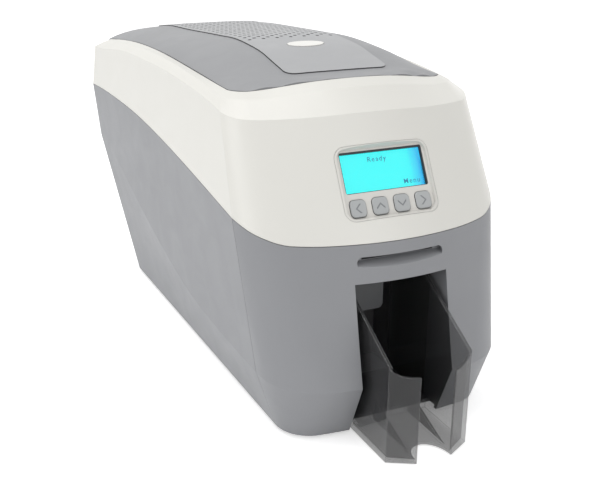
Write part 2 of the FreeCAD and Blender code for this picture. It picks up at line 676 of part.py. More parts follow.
def crown_solid():
    """Everything under the crowned top, which meets the opening all round its edge."""
    rows, columns = 28, 15
    near, far = mm.opening_front_set - 1, mm.body_length + 1
    reach = mm.opening_half_width + mm.overrun
    grid = []
    for i in range(rows + 1):
        y = near + (far - near) * (i / rows) ** 1.4
        edge = opening_height(y)
        rise = crown_height(y) - edge
        half = max(opening_half(y), mm.overrun)
        line = []
        for j in range(-columns, columns + 1):
            x = reach * j / columns
            bulge = 1 - min(abs(x) / half, 1) ** mm.crown_power
            line.append(Vector(x, mm.front_y + y, mm.feet_height + edge + rise * bulge))
        grid.append(line)
    surface = Part.BSplineSurface()
    surface.interpolate(grid)
    return surface.toShape().extrude(Vector(0, 0, -mm.crown_peak_height / 3))


crown = crown_solid()


def crown_block(drop):
    """Everything under the crowned top, lowered by a drop."""
    return crown.translated(Vector(0, 0, -drop))


def lid_prism(inset):
    """The lid's outline seen from above, drawn in by an inset, as an upright prism."""
    rear = mm.overrun if inset == 0 else -mm.lid_wall
    half = mm.opening_half_width - mm.lid_gap - inset
    ring = OPENING._replace(rear=mm.body_length + rear + mm.lid_gap + inset)
    high = mm.crown_peak_height + mm.overrun
    low = mm.opening_dip_height - 3 * mm.hinge_radius
    block = loft([ring_wire(ring, mm.lid_gap + inset, level=low),
                  ring_wire(ring, mm.lid_gap + inset, level=high)])
    square = span_box(-half, half, mm.body_length - 2 * mm.hinge_radius,
                      mm.body_length + min(rear, 0), low, high)
    return block.common(span_box(-half, half, 0, mm.body_length, low, high)).fuse(square)


def strip_prism(inset):
    """The strip's outline: parallel sides, square rear, round front corners."""
    half = mm.strip_half_width - inset
    radius = mm.strip_corner_radius - inset
    front = mm.strip_front_set + inset
    low, high = mm.opening_dip_height - 2 * mm.lip_depth, mm.crown_peak_height + mm.overrun
    body = span_box(-half, half, front + radius, mm.strip_rear_set - inset, low, high)
    nose = span_box(radius - half, half - radius, front, front + 2 * radius, low, high)
    rounds = [Part.makeCylinder(radius, high - low,
                                Vector(side * (half - radius), mm.front_y + front + radius,
                                       mm.feet_height + low)) for side in (-1, 1)]
    return body.fuse([nose] + rounds)


def oval(half_wide, half_deep, low, high):
    """Upright oval prism at the release button's place."""
    centre = Vector(0, mm.front_y + mm.button_set, mm.feet_height + low)
    ellipse = Part.Ellipse(centre, half_wide, half_deep).toShape()
    return Part.Face(Part.Wire(ellipse)).extrude(Vector(0, 0, high - low))


crown_low = mm.opening_dip_height - mm.lip_depth
crown_high = mm.crown_peak_height + mm.overrun
top_block = crown_block(0)
inner_block = crown_block(mm.lid_wall)
head_low = mm.path_height + mm.card_clearance


def top_lid():
    outer = lid_prism(0)
    inner = lid_prism(mm.lid_wall)
    half = mm.opening_half_width - mm.lid_gap
    shape = top_block.common(outer).cut(inner_block.common(inner))
    shape = shape.cut(crown_block(mm.skirt_depth).common(
        span_box(-half - 1, half + 1, 0, mm.body_length - mm.lid_wall, 0, crown_high)))
    axis = Vector(1, 0, 0)
    roll = Part.makeCylinder(mm.hinge_radius, 2 * half, Vector(-half, mm.hinge_y, hinge_z), axis)
    roll = roll.cut(Part.makeCylinder(mm.hinge_radius - mm.hinge_wall, 2 * half,
                                      Vector(-half, mm.hinge_y, hinge_z), axis))
    rear_set = mm.body_length - mm.hinge_radius
    high = hinge_z - mm.feet_height
    shape = shape.cut(span_box(-half, half, rear_set, behind, 0, high))
    roll = roll.common(span_box(-half, half, rear_set, behind, high - mm.hinge_skirt,
                                high + mm.hinge_radius))
    rear_wall = span_box(-half, half, mm.body_length - mm.lid_wall, mm.body_length, high,
                         crown_high).common(top_block)
    pieces = [roll, rear_wall]
    for start in (-half, half - mm.hinge_cheek):
        cheek = Part.makeCylinder(mm.hinge_radius, mm.hinge_cheek,
                                  Vector(start, mm.hinge_y, hinge_z), axis)
        web = span_box(start, start + mm.hinge_cheek, rear_set - mm.hinge_radius,
                       mm.body_length - mm.lid_wall, high, crown_high).common(top_block)
        pieces += [cheek, web]
    for side in (-1, 1):
        middle = side * (mm.head_length / 2 + mm.bracket_wall - mm.rail_width / 2)
        rail = span_box(middle - mm.rail_width / 2, middle + mm.rail_width / 2,
                        mm.platen_set - mm.sink_width / 2, mm.platen_set + mm.sink_width / 2,
                        mm.bracket_top_height, crown_high)
        pieces.append(rail.common(crown_block(mm.strip_thickness + mm.strip_gap)))
    shape = shape.fuse(pieces)
    recess = strip_prism(0).common(crown_block(-mm.overrun)).cut(
        crown_block(mm.strip_thickness))
    half_vent = mm.strip_half_width - mm.vent_margin
    vent = span_box(-half_vent, half_vent, mm.platen_set + mm.sink_width / 2,
                    mm.vent_rear_set, crown_low, crown_high)
    hole = oval(mm.button_half_wide + mm.button_gap, mm.button_half_deep + mm.button_gap,
                crown_low, crown_high)
    reach = 2 * (mm.hinge_cheek + mm.lid_gap)
    bores = [Part.makeCylinder(mm.hinge_pin_radius + mm.hinge_pin_gap, reach,
                               Vector(start, mm.hinge_y, hinge_z), axis)
             for start in (-half - reach / 2, half - reach / 2)]
    return shape.cut([recess, vent, hole] + bores)


def vent_holes():
    """Staggered round holes that stay clear of the strip's edges and the button."""
    sides = 8
    columns = int((mm.strip_half_width - mm.vent_margin) / mm.vent_pitch_across)
    clear = mm.button_half_deep + mm.vent_pitch_along
    low, high = crown_low, crown_high
    prisms = []
    for column in range(-columns, columns + 1):
        x = column * mm.vent_pitch_across
        y = mm.vent_front_set + (column % 2) * mm.vent_pitch_along / 2
        while y <= mm.vent_rear_set:
            if math.hypot(x, y - mm.button_set) > clear:
                centre = Vector(x, mm.front_y + y, mm.feet_height + low)
                ring = arc_points(centre, mm.vent_hole_radius, 0, 2 * math.pi, sides)
                ring[-1] = ring[0]
                prisms.append(Part.Face(Part.makePolygon(ring)).extrude(
                    Vector(0, 0, high - low)))
            y += mm.vent_pitch_along
    return prisms


def lid_vent_strip():
    shell = crown_block(-mm.strip_proud).cut(crown_block(mm.strip_thickness))
    shape = shell.common(strip_prism(mm.strip_gap))
    hole = oval(mm.button_half_wide + mm.button_gap, mm.button_half_deep + mm.button_gap,
                crown_low, crown_high)
    return shape.cut([hole, Part.makeCompound(vent_holes())])


def lid_release_button():
    """Oval cap with the lid's crown, a flange under the lid and a short stem."""
    flange_drop = mm.lid_wall + mm.button_travel / 10
    cap = oval(mm.button_half_wide, mm.button_half_deep, crown_low, crown_high)
    cap = cap.common(crown_block(-mm.button_proud)).cut(crown_block(flange_drop))
    lap = mm.button_flange
    flange = oval(mm.button_half_wide + lap, mm.button_half_deep + lap, crown_low, crown_high)
    flange = flange.common(crown_block(flange_drop)).cut(crown_block(flange_drop + lap))
    foot = mm.latch_height + mm.latch_wall + mm.arm_clear
    stem = Part.makeCylinder(mm.button_stem_radius, mm.crown_peak_height - foot,
                             Vector(0, mm.front_y + mm.button_set, mm.feet_height + foot))
    return cap.fuse([flange, stem.common(crown_block(mm.lid_wall))])


keep(solid("top_lid_shape", top_lid()), "top_lid")
keep(solid("lid_vent_strip_shape", lid_vent_strip()), "lid_vent_strip")
keep(solid("lid_release_button_shape", lid_release_button()), "lid_release_button")

# Display bezel: an off-white frame in the leaning front, flush with it at the
# rim and dished down to a flat panel with the window and the four key holes.

KEY_NAMES = ("key_left", "key_up", "key_down", "key_right")
key_places = [(i - 1.5) * mm.key_pitch for i in range(len(KEY_NAMES))]
plate_out = -mm.display_sunk


def display_bezel():
    width, height, corner = mm.display_width, mm.display_height, mm.display_corner
    block = rounded_plate(width, height, corner, mm.display_back + mm.overrun)
    shape = at_display(block, 0, -mm.display_back).common(upper_core(0))
    steps = []
    for narrower, level in ((mm.display_edge, mm.overrun), (mm.display_edge, 0),
                            (mm.display_taper, plate_out)):
        steps.append(rounded_wire(width - 2 * narrower, height - 2 * narrower,
                                  corner - narrower, level))
    dish = at_display(loft(steps), 0, 0)
    rim = mm.display_rim
    hollow = rounded_plate(width - 2 * rim, height - 2 * rim, corner - rim,
                           mm.display_back - mm.display_sunk - mm.display_plate)
    hollow = at_display(hollow, 0, -mm.display_back)
    through = 2 * mm.display_back
    window = rounded_plate(mm.window_width, mm.window_height, mm.window_corner, through)
    holes = [at_display(window, mm.window_up, -through)]
    size = mm.key_size + 2 * mm.key_gap
    for x in key_places:
        hole = rounded_plate(size, size, mm.key_corner + mm.key_gap, through)
        hole.translate(Vector(x, 0, 0))
        holes.append(at_display(hole, -mm.key_drop, -through))
    return shape.cut([dish, hollow] + holes)


def key_cap():
    """Square key with a softened top edge, a stem through the panel and a flange."""
    size = mm.key_size
    depth = mm.key_proud + mm.display_plate + mm.key_gap
    cap = rounded_plate(size, size, mm.key_corner, depth)
    rim = [edge for edge in cap.Edges
           if min(vertex.Point.z for vertex in edge.Vertexes) > depth - mm.key_edge]
    cap = cap.makeChamfer(mm.key_edge, rim)
    wide = size + 2 * mm.key_flange
    flange = rounded_plate(wide, wide, mm.key_corner, mm.key_flange_thickness)
    flange.translate(Vector(0, 0, -mm.key_flange_thickness))
    return cap.fuse(flange)


def display_glass():
    lap = mm.glass_lap
    return rounded_plate(mm.window_width + 2 * lap, mm.window_height + 2 * lap,
                         mm.glass_corner, mm.glass_thickness)


def display_screen():
    """Screen module: a glass front on a frame that is a little wider."""
    wide = mm.window_width + 2 * mm.lcd_lap
    high = mm.window_height + 2 * mm.lcd_lap
    front = rounded_plate(mm.window_width + mm.glass_lap, mm.window_height + mm.glass_lap,
                          mm.window_corner, mm.glass_thickness)
    front.translate(Vector(0, 0, mm.lcd_thickness - mm.glass_thickness))
    frame = rounded_plate(wide, high, mm.window_corner, mm.lcd_thickness - mm.glass_thickness)
    return frame.fuse(front)


def keypad_board():
    wide = 3 * mm.key_pitch + mm.key_size + 2 * mm.keypad_margin
    return rounded_plate(wide, mm.key_size + 2 * mm.key_flange, mm.key_corner, mm.board_thickness)


glass_out = plate_out - mm.display_plate - mm.glass_thickness
keep(solid("display_bezel_shape", display_bezel()), "display_bezel")
keep(solid("display_window_shape", display_glass(), on_display(mm.window_up, glass_out)),
     "display_window")
keep(solid("lcd_module_shape", display_screen(),
           on_display(mm.window_up, glass_out - mm.lcd_thickness)), "lcd_module")
key_out = plate_out - mm.display_plate - mm.key_gap
for label, x in zip(KEY_NAMES, key_places):
    keep(solid(label + "_shape", key_cap(), on_display(-mm.key_drop, key_out, x)), label)
board_out = key_out - mm.key_flange_thickness - mm.key_travel - mm.key_gap
keep(solid("keypad_board_shape", keypad_board(),
           on_display(-mm.key_drop, board_out - mm.board_thickness)), "keypad_board")

# Card hopper: a clear smoked bin that stands out of the doorway. Its sides slope
# down to the front, where two flaps turn in and leave a gap for the fingers.


def hopper_flap(side):
    """One front flap, from the side wall's front edge inwards to its tip."""
    wall = mm.hopper_wall
    outer = Vector(side * mm.hopper_half_width, mm.front_y - mm.hopper_wall_reach, 0)
    tip = Vector(side * mm.finger_half_gap, mm.front_y - mm.hopper_reach, 0)
    back = Vector(0, wall, 0)
    plan = Part.makePolygon([outer, tip, tip + back, outer + back + Vector(-side * wall, 0, 0),
                             outer + back, outer])
    flap = Part.Face(plan).extrude(Vector(0, 0, mm.hopper_front_height + mm.feet_height))
    run = mm.hopper_half_width - mm.finger_half_gap
    radius = (run ** 2 / 4 + mm.flap_dip ** 2) / (2 * mm.flap_dip) * 2
    middle = side * (mm.finger_half_gap + mm.flap_low_inset)
    low = mm.feet_height + mm.hopper_front_height - mm.flap_dip
    bowl = Part.makeCylinder(radius, 4 * mm.hopper_reach,
                             Vector(middle, mm.front_y - 2 * mm.hopper_reach, low + radius),
                             Vector(0, 1, 0))
    return flap.cut(bowl)


def card_hopper():
    half = mm.hopper_half_width
    wall = mm.hopper_wall
    bottom = mm.hopper_clearance - mm.feet_height
    inside = bottom + wall
    near = -mm.hopper_wall_reach
    step, raised = mm.hopper_step_set, mm.hopper_step_height
    profile = [(near, bottom), (near, mm.hopper_front_height),
               (mm.hopper_slope_set, mm.hopper_rear_height),
               (mm.hopper_rear_set, mm.hopper_rear_height), (mm.hopper_rear_set, raised),
               (step, raised), (step, bottom)]
    hollow = [(near - wall, inside), (near - wall, whole), (behind, whole),
              (behind, raised + wall), (step - wall, raised + wall), (step - wall, inside)]

    shape = side_prism(profile, half).cut(side_prism(hollow, half - wall))
    lip = [Vector(side * reach, mm.front_y - y, mm.hopper_clearance)
           for side, reach, y in ((-1, half, mm.hopper_wall_reach),
                                  (-1, mm.finger_half_gap, mm.hopper_reach),
                                  (1, mm.finger_half_gap, mm.hopper_reach),
                                  (1, half, mm.hopper_wall_reach))]
    floor = Part.Face(Part.makePolygon(lip + lip[:1])).extrude(Vector(0, 0, wall))
    shape = shape.fuse([floor, hopper_flap(-1), hopper_flap(1)])
    shape = shape.cut(span_box(-half, half, -2 * mm.hopper_reach, 0, 2 * bottom - wall, bottom))
    ribs = []
    for side in (-1, 1):
        x = side * mm.rib_half_pitch - mm.rib_width / 2
        wedge = [(near, inside), (step - wall, inside), (step - wall, mm.rib_height),
                 (0, mm.rib_height)]
        points = [Vector(x, mm.front_y + y, mm.feet_height + z) for y, z in wedge]
        ribs.append(Part.Face(Part.makePolygon(points + points[:1])).extrude(
            Vector(mm.rib_width, 0, 0)))
    shape = shape.fuse(ribs)
    notch = Part.Ellipse(Vector(0, mm.front_y - mm.hopper_reach, 0), mm.notch_depth,
                         mm.finger_half_gap)
    notch = Part.Face(Part.Wire(notch.toShape())).extrude(Vector(0, 0, mm.rib_height))
    notch.rotate(Vector(0, mm.front_y - mm.hopper_reach, 0), Vector(0, 0, 1), 90)
    return shape.cut(notch)


keep(solid("card_hopper_shape", card_hopper()), "card_hopper")


def hopper_bay():
    """Dark inner box behind the doorway that the hopper slides into."""
    inner = mm.bay_half_width
    outer = inner + mm.bay_wall
    near = mm.jamb_set + mm.bay_clear
    low, high = mm.tray_floor + mm.bay_clear, mm.bay_top_height
    block = span_box(-outer, outer, near, mm.bay_rear_set + mm.bay_wall, low,
                     high + mm.bay_wall)
    return block.cut(span_box(-inner, inner, near - mm.bay_wall, mm.bay_rear_set,
                              low - mm.bay_wall, high))


def card_gate():
    """Grey gate in the upper left of the doorway: over the bin's wall and inside it."""
    over = mm.bay_half_width - mm.bay_clear
    inside = mm.hopper_half_width - mm.hopper_wall - mm.gate_clear
    near, far = mm.jamb_set - mm.gate_thickness, mm.jamb_set
    high = mm.bay_top_height
    plate = span_box(-inside, mm.gate_right, near, far, mm.gate_low_height, high)
    corner = [edge for edge in plate.Edges
              if all(abs(spot.X - mm.gate_right) < mm.parting_gap for spot in edge.Vertexes)
              and all(spot.Z < mm.feet_height + high / 2 + mm.gate_low_height / 2
                      for spot in edge.Vertexes)]
    plate = plate.makeFillet(mm.gate_corner, corner)
    return plate.fuse(span_box(-over, -inside, near, far,
                               mm.hopper_rear_height + mm.gate_clear, high)).removeSplitter()


keep(solid("hopper_bay_shape", hopper_bay()), "hopper_bay")
keep(solid("card_gate_shape", card_gate()), "card_gate")


def card_tray():
    """Guide from the hand-feed slot to the first rollers, with a funnel mouth."""
    near, path = mm.tray_front_set, mm.path_height
    half_card = mm.card_gap / 2
    mouth = stadium(mm.slot_half_width, mm.slot_height, mm.tray_mouth_length)
    mouth.translate(Vector(0, mm.front_y + near, mm.feet_height + mm.slot_middle_height))
    card = span_box(-mm.card_half_width, mm.card_half_width, 0, mm.tray_rear_set,
                    path - half_card, path + half_card)
    wide, deep = half_card + mm.funnel_flare, near + mm.funnel_length
    funnel = side_prism([(near, path - wide), (deep, path - half_card),
                         (deep, path + half_card), (near, path + wide)], mm.card_half_width)
    start = near + mm.tray_mouth_length - mm.tray_thickness
    floor = span_box(-mm.slot_half_width, mm.slot_half_width, start, mm.tray_rear_set,
                     path - half_card - mm.tray_thickness, path - half_card)
    walls = [span_box(side * mm.slot_half_width - (side > 0) * mm.tray_thickness,
                      side * mm.slot_half_width + (side < 0) * mm.tray_thickness,
                      start, mm.tray_rear_set, mm.bay_top_height + mm.bay_wall,
                      path - half_card) for side in (-1, 1)]
    return mouth.cut([card, funnel]).fuse([floor] + walls)


keep(solid("card_tray_shape", card_tray()), "card_tray")

# Base: a shallow tray that the covers close over, on four rubber feet.


def base_tray():
    clear = mm.shell_wall + mm.cover_gap
    outer = loft([ring_wire(BASE, clear, level=0), ring_wire(BASE, clear, level=mm.tray_rim_height)])
    inner = loft([ring_wire(BASE, clear + mm.tray_rim_wall, level=mm.tray_floor),
                  ring_wire(BASE, clear + mm.tray_rim_wall, level=2 * mm.tray_rim_height)])
    shape = outer.cut(inner)
    bosses, holes = [], []
    for x in (-mm.screw_half_pitch, mm.screw_half_pitch):
        for y in (mm.screw_front_set, mm.screw_rear_set):
            spot = Vector(x, mm.front_y + y, mm.feet_height)
            bosses.append(Part.makeCylinder(mm.boss_radius, mm.tray_rim_height, spot))
            holes.append(Part.makeCylinder(mm.screw_radius, mm.screw_length, spot))
            holes.append(Part.makeCylinder(mm.screw_head_radius, mm.screw_head_height, spot))
    for x in (-mm.foot_half_pitch, mm.foot_half_pitch):
        for y in (mm.foot_front_set, mm.foot_rear_set):
            spot = Vector(x, mm.front_y + y, mm.feet_height)
            holes.append(Part.makeCylinder(mm.foot_peg_radius, mm.peg_height, spot))
    half = mm.bay_half_width + mm.jamb_wall + mm.cover_gap
    notch = span_box(-half, half, -mm.chamfer_front_reach, mm.jamb_set + mm.cover_gap,
                     mm.tray_floor, 2 * mm.tray_rim_height)
    mouth = span_box(-half, half, -mm.chamfer_front_reach, mm.tray_notch_set,
                     -mm.overrun, mm.tray_rim_height)
    return shape.fuse(bosses).cut(holes + [notch, mouth])


keep(solid("base_tray_shape", base_tray()), "base_tray")

feet, screws = [], []
for side in ("-", ""):
    for end in ("front", "rear"):
        spot = (f"{side}foot_half_pitch", f"front_y + foot_{end}_set")
        pad = rod("foot_pad", "Z", "foot_radius", "feet_height", *spot, "0")
        peg = rod("foot_peg", "Z", "foot_peg_radius", "feet_height + peg_height", *spot, "0")
        feet.append(fuse("foot", pad, peg))
        spot = (f"{side}screw_half_pitch", f"front_y + screw_{end}_set", "feet_height")
        head = rod("screw_head", "Z", "screw_head_radius", "screw_head_height", *spot)
        shank = rod("screw_shank", "Z", "screw_radius", "screw_length", *spot)
        screws.append(fuse("screw", head, shank))
keep(group("foot_set", feet), "rubber_feet")
keep(group("screw_set", screws), "case_screws")

# Chassis: two steel side plates on the base, tied by round bars, with a bush in
# each plate for every shaft of the card path.

SHAFTS = (("front_roller_set", "low_roller_z"), ("front_roller_set", "pinch_z"),
          ("platen_set", "platen_z"), ("rear_roller_set", "low_roller_z"),
          ("rear_roller_set", "pinch_z"), ("cleaner_set", "cleaner_z"))
BARS = (("bay_rear_set + crossbar_radius * 3", "feet_height + crossbar_low_height"),
        ("supply_front_set - crossbar_radius * 4", "feet_height + crossbar_low_height"),
        ("takeup_set - frame_shoulder_run * 0.6", "feet_height + crossbar_high_height"),
        ("rear_roller_set + frame_shoulder_run * 0.3", "feet_height + crossbar_high_height"))


def plate_outline(sketch):
    draw_outline(sketch, [
        ("front_y + frame_front_set", "floor_z"),
        ("front_y + frame_foot_set", "floor_z"),
        ("front_y + frame_rear_set", "feet_height + frame_heel_height"),
        ("front_y + frame_rear_set", "feet_height + frame_tail_height"),
        ("front_y + frame_rear_set - frame_shoulder_run", "feet_height + frame_top_height"),
        ("front_y + frame_front_set + frame_shoulder_run", "feet_height + frame_top_height"),
        ("front_y + frame_front_set", "feet_height + frame_nose_height")])
    for at, up in SHAFTS:
        draw_circle(sketch, f"front_y + {at}", up, "bush_radius")
    for at, up in BARS:
        draw_circle(sketch, f"front_y + {at}", up, "crossbar_radius / 2")
    for at in ("supply_set", "takeup_set"):
        draw_circle(sketch, f"front_y + {at}", "spool_z", "shaft_radius + shaft_gap")
    draw_circle(sketch, "striker_y", "feet_height + striker_height", "striker_radius")
    draw_circle(sketch, "front_y + platen_set", "feet_height + motor_height",
                "shaft_radius * 1.5")


keep(padded("left_plate", "YZ_Plane", "-frame_outer", "frame_wall", plate_outline),
     "chassis_plate_left")
keep(padded("right_plate", "YZ_Plane", "frame_half_gap", "frame_wall", plate_outline),
     "chassis_plate_right")

bars = []
for at, up in BARS:
    spot = (f"front_y + {at}", up)
    bar = rod("tie_bar", "X", "crossbar_radius", "2 * frame_half_gap", "-frame_half_gap", *spot)
    neck = rod("tie_neck", "X", "crossbar_radius / 2", "2 * frame_outer", "-frame_outer", *spot)
    bars.append(fuse("tie", bar, neck))
keep(group("tie_bars", bars), "chassis_tie_bars")

bushes = []
for at, up in SHAFTS:
    for start in ("-frame_outer", "frame_half_gap"):
        spot = (start, f"front_y + {at}", up)
        sleeve = rod("bush_sleeve", "X", "bush_radius", "frame_wall", *spot)
        bore = rod("bush_bore", "X", "shaft_radius + shaft_gap", "frame_wall", *spot)
        bushes.append(cut("bush", sleeve, bore))
keep(group("bush_set", bushes), "shaft_bushes")

keep(rod("striker_bar", "X", "striker_radius", "2 * frame_outer", "-frame_outer",
         "striker_y", "feet_height + striker_height"), "latch_striker")


# Rollers: rubber sleeves on steel shafts. The driven ones carry a flanged belt
# pulley outside the left plate.

def roller(label, radius, length, at, up, pulley=None):
    spot = (f"front_y + {at}", up)
    sleeve = rod(label + "_sleeve", "X", radius, length, f"-({length}) / 2", *spot)
    tail = "shaft_tail" if pulley is None else "pulley_offset + pulley_width + shaft_tail"
    shaft = rod(label + "_shaft", "X", "shaft_radius", f"2 * frame_outer + shaft_tail + {tail}",
                f"-frame_outer - ({tail})", *spot)
    parts = [sleeve, shaft]
    if pulley is not None:
        start = "-frame_outer - pulley_offset - pulley_width"
        parts.append(rod(label + "_pulley", "X", pulley, "pulley_width", start, *spot))
        for edge in (start, "-frame_outer - pulley_offset - pulley_flange"):
            parts.append(rod(label + "_lip", "X", f"{pulley} + pulley_lip", "pulley_flange",
                             edge, *spot))
    return keep(fuse(label + "_shape", *parts), label)


platen_pulley = "pulley_radius + platen_radius - feed_radius"
roller("feed_roller_front", "feed_radius", "feed_length", "front_roller_set", "low_roller_z",
       "pulley_radius")
roller("feed_roller_rear", "feed_radius", "feed_length", "rear_roller_set", "low_roller_z",
       "pulley_radius")
roller("platen_roller", "platen_radius", "platen_length", "platen_set", "platen_z",
       f"({platen_pulley})")
roller("pinch_roller_front", "pinch_radius", "feed_length", "front_roller_set", "pinch_z")
roller("pinch_roller_rear", "pinch_radius", "feed_length", "rear_roller_set", "pinch_z")
roller("cleaning_roller", "cleaner_radius", "feed_length", "cleaner_set", "cleaner_z")

# Drive: a motor inside the left plate turns the three driven rollers through one
# belt, which runs over the pulleys on top and round the motor pulley below.

motor_spot = ("front_y + platen_set", "feet_height + motor_height")
can = rod("motor_can", "X", "motor_radius", "motor_length", "-frame_half_gap", *motor_spot)
keep(can, "drive_motor")
pulley_start = "-frame_outer - pulley_offset - pulley_width"
drum = rod("motor_drum", "X", "motor_pulley_radius", "pulley_width", pulley_start, *motor_spot)
axle = rod("motor_axle", "X", "shaft_radius", "pulley_offset + pulley_width + frame_wall",
           pulley_start, *motor_spot)
lips = [rod("motor_lip", "X", "motor_pulley_radius + pulley_lip", "pulley_flange", edge,
            *motor_spot) for edge in (pulley_start, "-frame_outer - pulley_offset - pulley_flange")]
keep(fuse("motor_pulley_shape", drum, axle, *lips), "motor_pulley")


def belt_loop(radii, centres, grow):
    """Outline of a belt round circles, given in the order that it meets them."""
    edges = []
    count = len(centres)
    tangents = []
    for i in range(count):
        a, b = centres[i], centres[(i + 1) % count]
        ra, rb = radii[i] + grow, radii[(i + 1) % count] + grow
        line = b - a
        heading = math.atan2(line.z, line.y)
        side = heading + math.acos((ra - rb) / line.Length)
        outward = Vector(0, math.cos(side), math.sin(side))
        tangents.append((a + outward * ra, b + outward * rb, side))
    for i in range(count):
        leave = tangents[i]
        edges.append(Part.LineSegment(leave[0], leave[1]).toShape())
        after = tangents[(i + 1) % count]
        radius = radii[(i + 1) % count] + grow
        turn = (leave[2] - after[2]) % (2 * math.pi)
        middle = leave[2] - turn / 2
        peak = centres[(i + 1) % count] + Vector(0, math.cos(middle), math.sin(middle)) * radius
        edges.append(Part.Arc(leave[1], peak, after[0]).toShape())
    return Part.Wire(edges)


def drive_belt():
    start = -mm.frame_outer - mm.pulley_offset - mm.pulley_width
    inner = mm.pulley_flange + mm.belt_gap
    x = start + inner
    low = mm.low_roller_z
    motor_z = mm.feet_height + mm.motor_height
    centres = [Vector(x, mm.front_y + mm.front_roller_set, low),
               Vector(x, mm.front_y + mm.rear_roller_set, low),
               Vector(x, mm.front_y + mm.platen_set, motor_z)]
    radii = [mm.pulley_radius, mm.pulley_radius, mm.motor_pulley_radius]
    width = Vector(mm.pulley_width - 2 * inner, 0, 0)
    outer = belt_loop(radii, centres, mm.belt_gap + mm.belt_thickness)
    hollow = belt_loop(radii, centres, mm.belt_gap)
    return Part.Face(outer).extrude(width).cut(Part.Face(hollow).extrude(width))


keep(solid("drive_belt_shape", drive_belt()), "drive_belt")


# Ribbon: a full supply spool and a take-up spool hang in the side plates, and
# the film runs between them under the print head.

def spool(label, at, roll_radius):
    spot = (f"front_y + {at}", "spool_z")
    parts = [
        rod(label + "_core", "X", "spool_core_radius", "2 * spool_half_length",
            "-spool_half_length", *spot),
        rod(label + "_roll", "X", roll_radius, "2 * film_half_width", "-film_half_width", *spot),
        rod(label + "_axle", "X", "shaft_radius",
            "2 * frame_outer + 2 * gear_offset + gear_width",
            "-frame_outer - gear_offset", *spot)]
    for start in ("-film_half_width - spool_flange_wall", "film_half_width"):
        parts.append(rod(label + "_flange", "X", "spool_flange_radius", "spool_flange_wall",
                         start, *spot))
    return keep(fuse(label + "_shape", *parts), label)


spool("ribbon_supply_spool", "supply_set", "supply_roll_radius")
spool("ribbon_takeup_spool", "takeup_set", "takeup_roll_radius")


def ribbon_film():
    """Film from the supply roll down to the head, under it and up to the take-up."""
    low = mm.path_height + mm.card_clearance + mm.film_gap
    thick = mm.film_thickness
    reach = mm.head_width / 2 + mm.film_gap

    def pull_off(at, radius, corner, side):
        centre = Vector(0, at, mm.spool_height)
        toward = corner - centre
        heading = math.atan2(toward.z, toward.y)
        swing = math.acos((radius + mm.film_gap) / toward.Length) * side
        spot = heading + swing
        return centre + Vector(0, math.cos(spot), math.sin(spot)) * (radius + mm.film_gap)

    near = Vector(0, mm.platen_set - reach, low)
    far = Vector(0, mm.platen_set + reach, low)
    start = pull_off(mm.takeup_set, mm.takeup_roll_radius, near, 1)
    end = pull_off(mm.supply_set, mm.supply_roll_radius, far, -1)
    line = [start, near, far, end]
    lift = Vector(0, 0, thick)
    points = line + [point + lift for point in reversed(line)]
    points = [Vector(-mm.film_half_width, mm.front_y + p.y, mm.feet_height + p.z) for p in points]
    return Part.Face(Part.makePolygon(points + points[:1])).extrude(
        Vector(2 * mm.film_half_width, 0, 0))


keep(solid("ribbon_film_shape", ribbon_film()), "ribbon_film")

GEAR_TEETH, PINION_TEETH = 36, 12


def gear_blank(teeth, bore, first_angle):
    """Spur gear with straight-sided teeth, centred on X, one tooth at an angle."""
    pitch_radius = mm.gear_module * teeth / 2
    outer = pitch_radius + 0.9 * mm.gear_module
    root = pitch_radius - 1.2 * mm.gear_module
    step = 2 * math.pi / teeth
    slack = mm.tooth_backlash / 2 / pitch_radius
    flanks = ((root, 0.36), (pitch_radius, 0.25), (outer, 0.12))
    points = []
    for i in range(teeth):
        middle = first_angle + i * step
        rise = [(radius, middle - share * step + slack / 2) for radius, share in flanks]
        fall = [(radius, middle + share * step - slack / 2) for radius, share in flanks[::-1]]
        points += [Vector(0, r * math.cos(a), r * math.sin(a)) for r, a in rise + fall]
    rim = Part.Face(Part.makePolygon(points + points[:1])).extrude(Vector(mm.gear_width, 0, 0))
    return rim.cut(Part.makeCylinder(bore, mm.gear_width, Vector(), Vector(1, 0, 0)))


gear_x = mm.frame_outer + mm.gear_offset
gear_spread = mm.gear_module * (GEAR_TEETH + PINION_TEETH) / 2
gear_spot = Vector(gear_x, mm.front_y + mm.takeup_set, mm.spool_z)
pinion_spot = gear_spot - Vector(0, gear_spread, 0)
keep(solid("takeup_gear_shape", gear_blank(GEAR_TEETH, mm.shaft_radius, math.pi),
           Placement(gear_spot, Rotation())), "takeup_gear")
keep(solid("ribbon_pinion_shape",
           gear_blank(PINION_TEETH, mm.shaft_radius / 2, math.pi / PINION_TEETH).fuse(
               Part.makeCylinder(mm.shaft_radius / 2, mm.gear_width + mm.gear_offset,
                                 Vector(), Vector(1, 0, 0))),
           Placement(pinion_spot, Rotation())), "ribbon_pinion")


def ribbon_motor_plate():
    """Small plate outside the gears that carries the ribbon motor on four spacers."""
    half = mm.motor_plate_half
    x = gear_x + mm.gear_width + mm.gear_offset
    middle = pinion_spot + Vector(x - gear_x, 0, 0)
    plate = Part.makeBox(mm.motor_plate_wall, 2 * half, 2 * half,
                         middle - Vector(0, half, half))
    spacers = []
    inset = half - mm.spacer_radius
    for up in (-inset, inset):
        spacers.append(Part.makeCylinder(
            mm.spacer_radius, x - mm.frame_outer,
            Vector(mm.frame_outer, middle.y - inset, middle.z + up), Vector(1, 0, 0)))
    hole = Part.makeCylinder(mm.shaft_radius, 2 * mm.motor_plate_wall,
                             middle - Vector(mm.motor_plate_wall / 2, 0, 0), Vector(1, 0, 0))
    return plate.fuse(spacers).cut(hole)


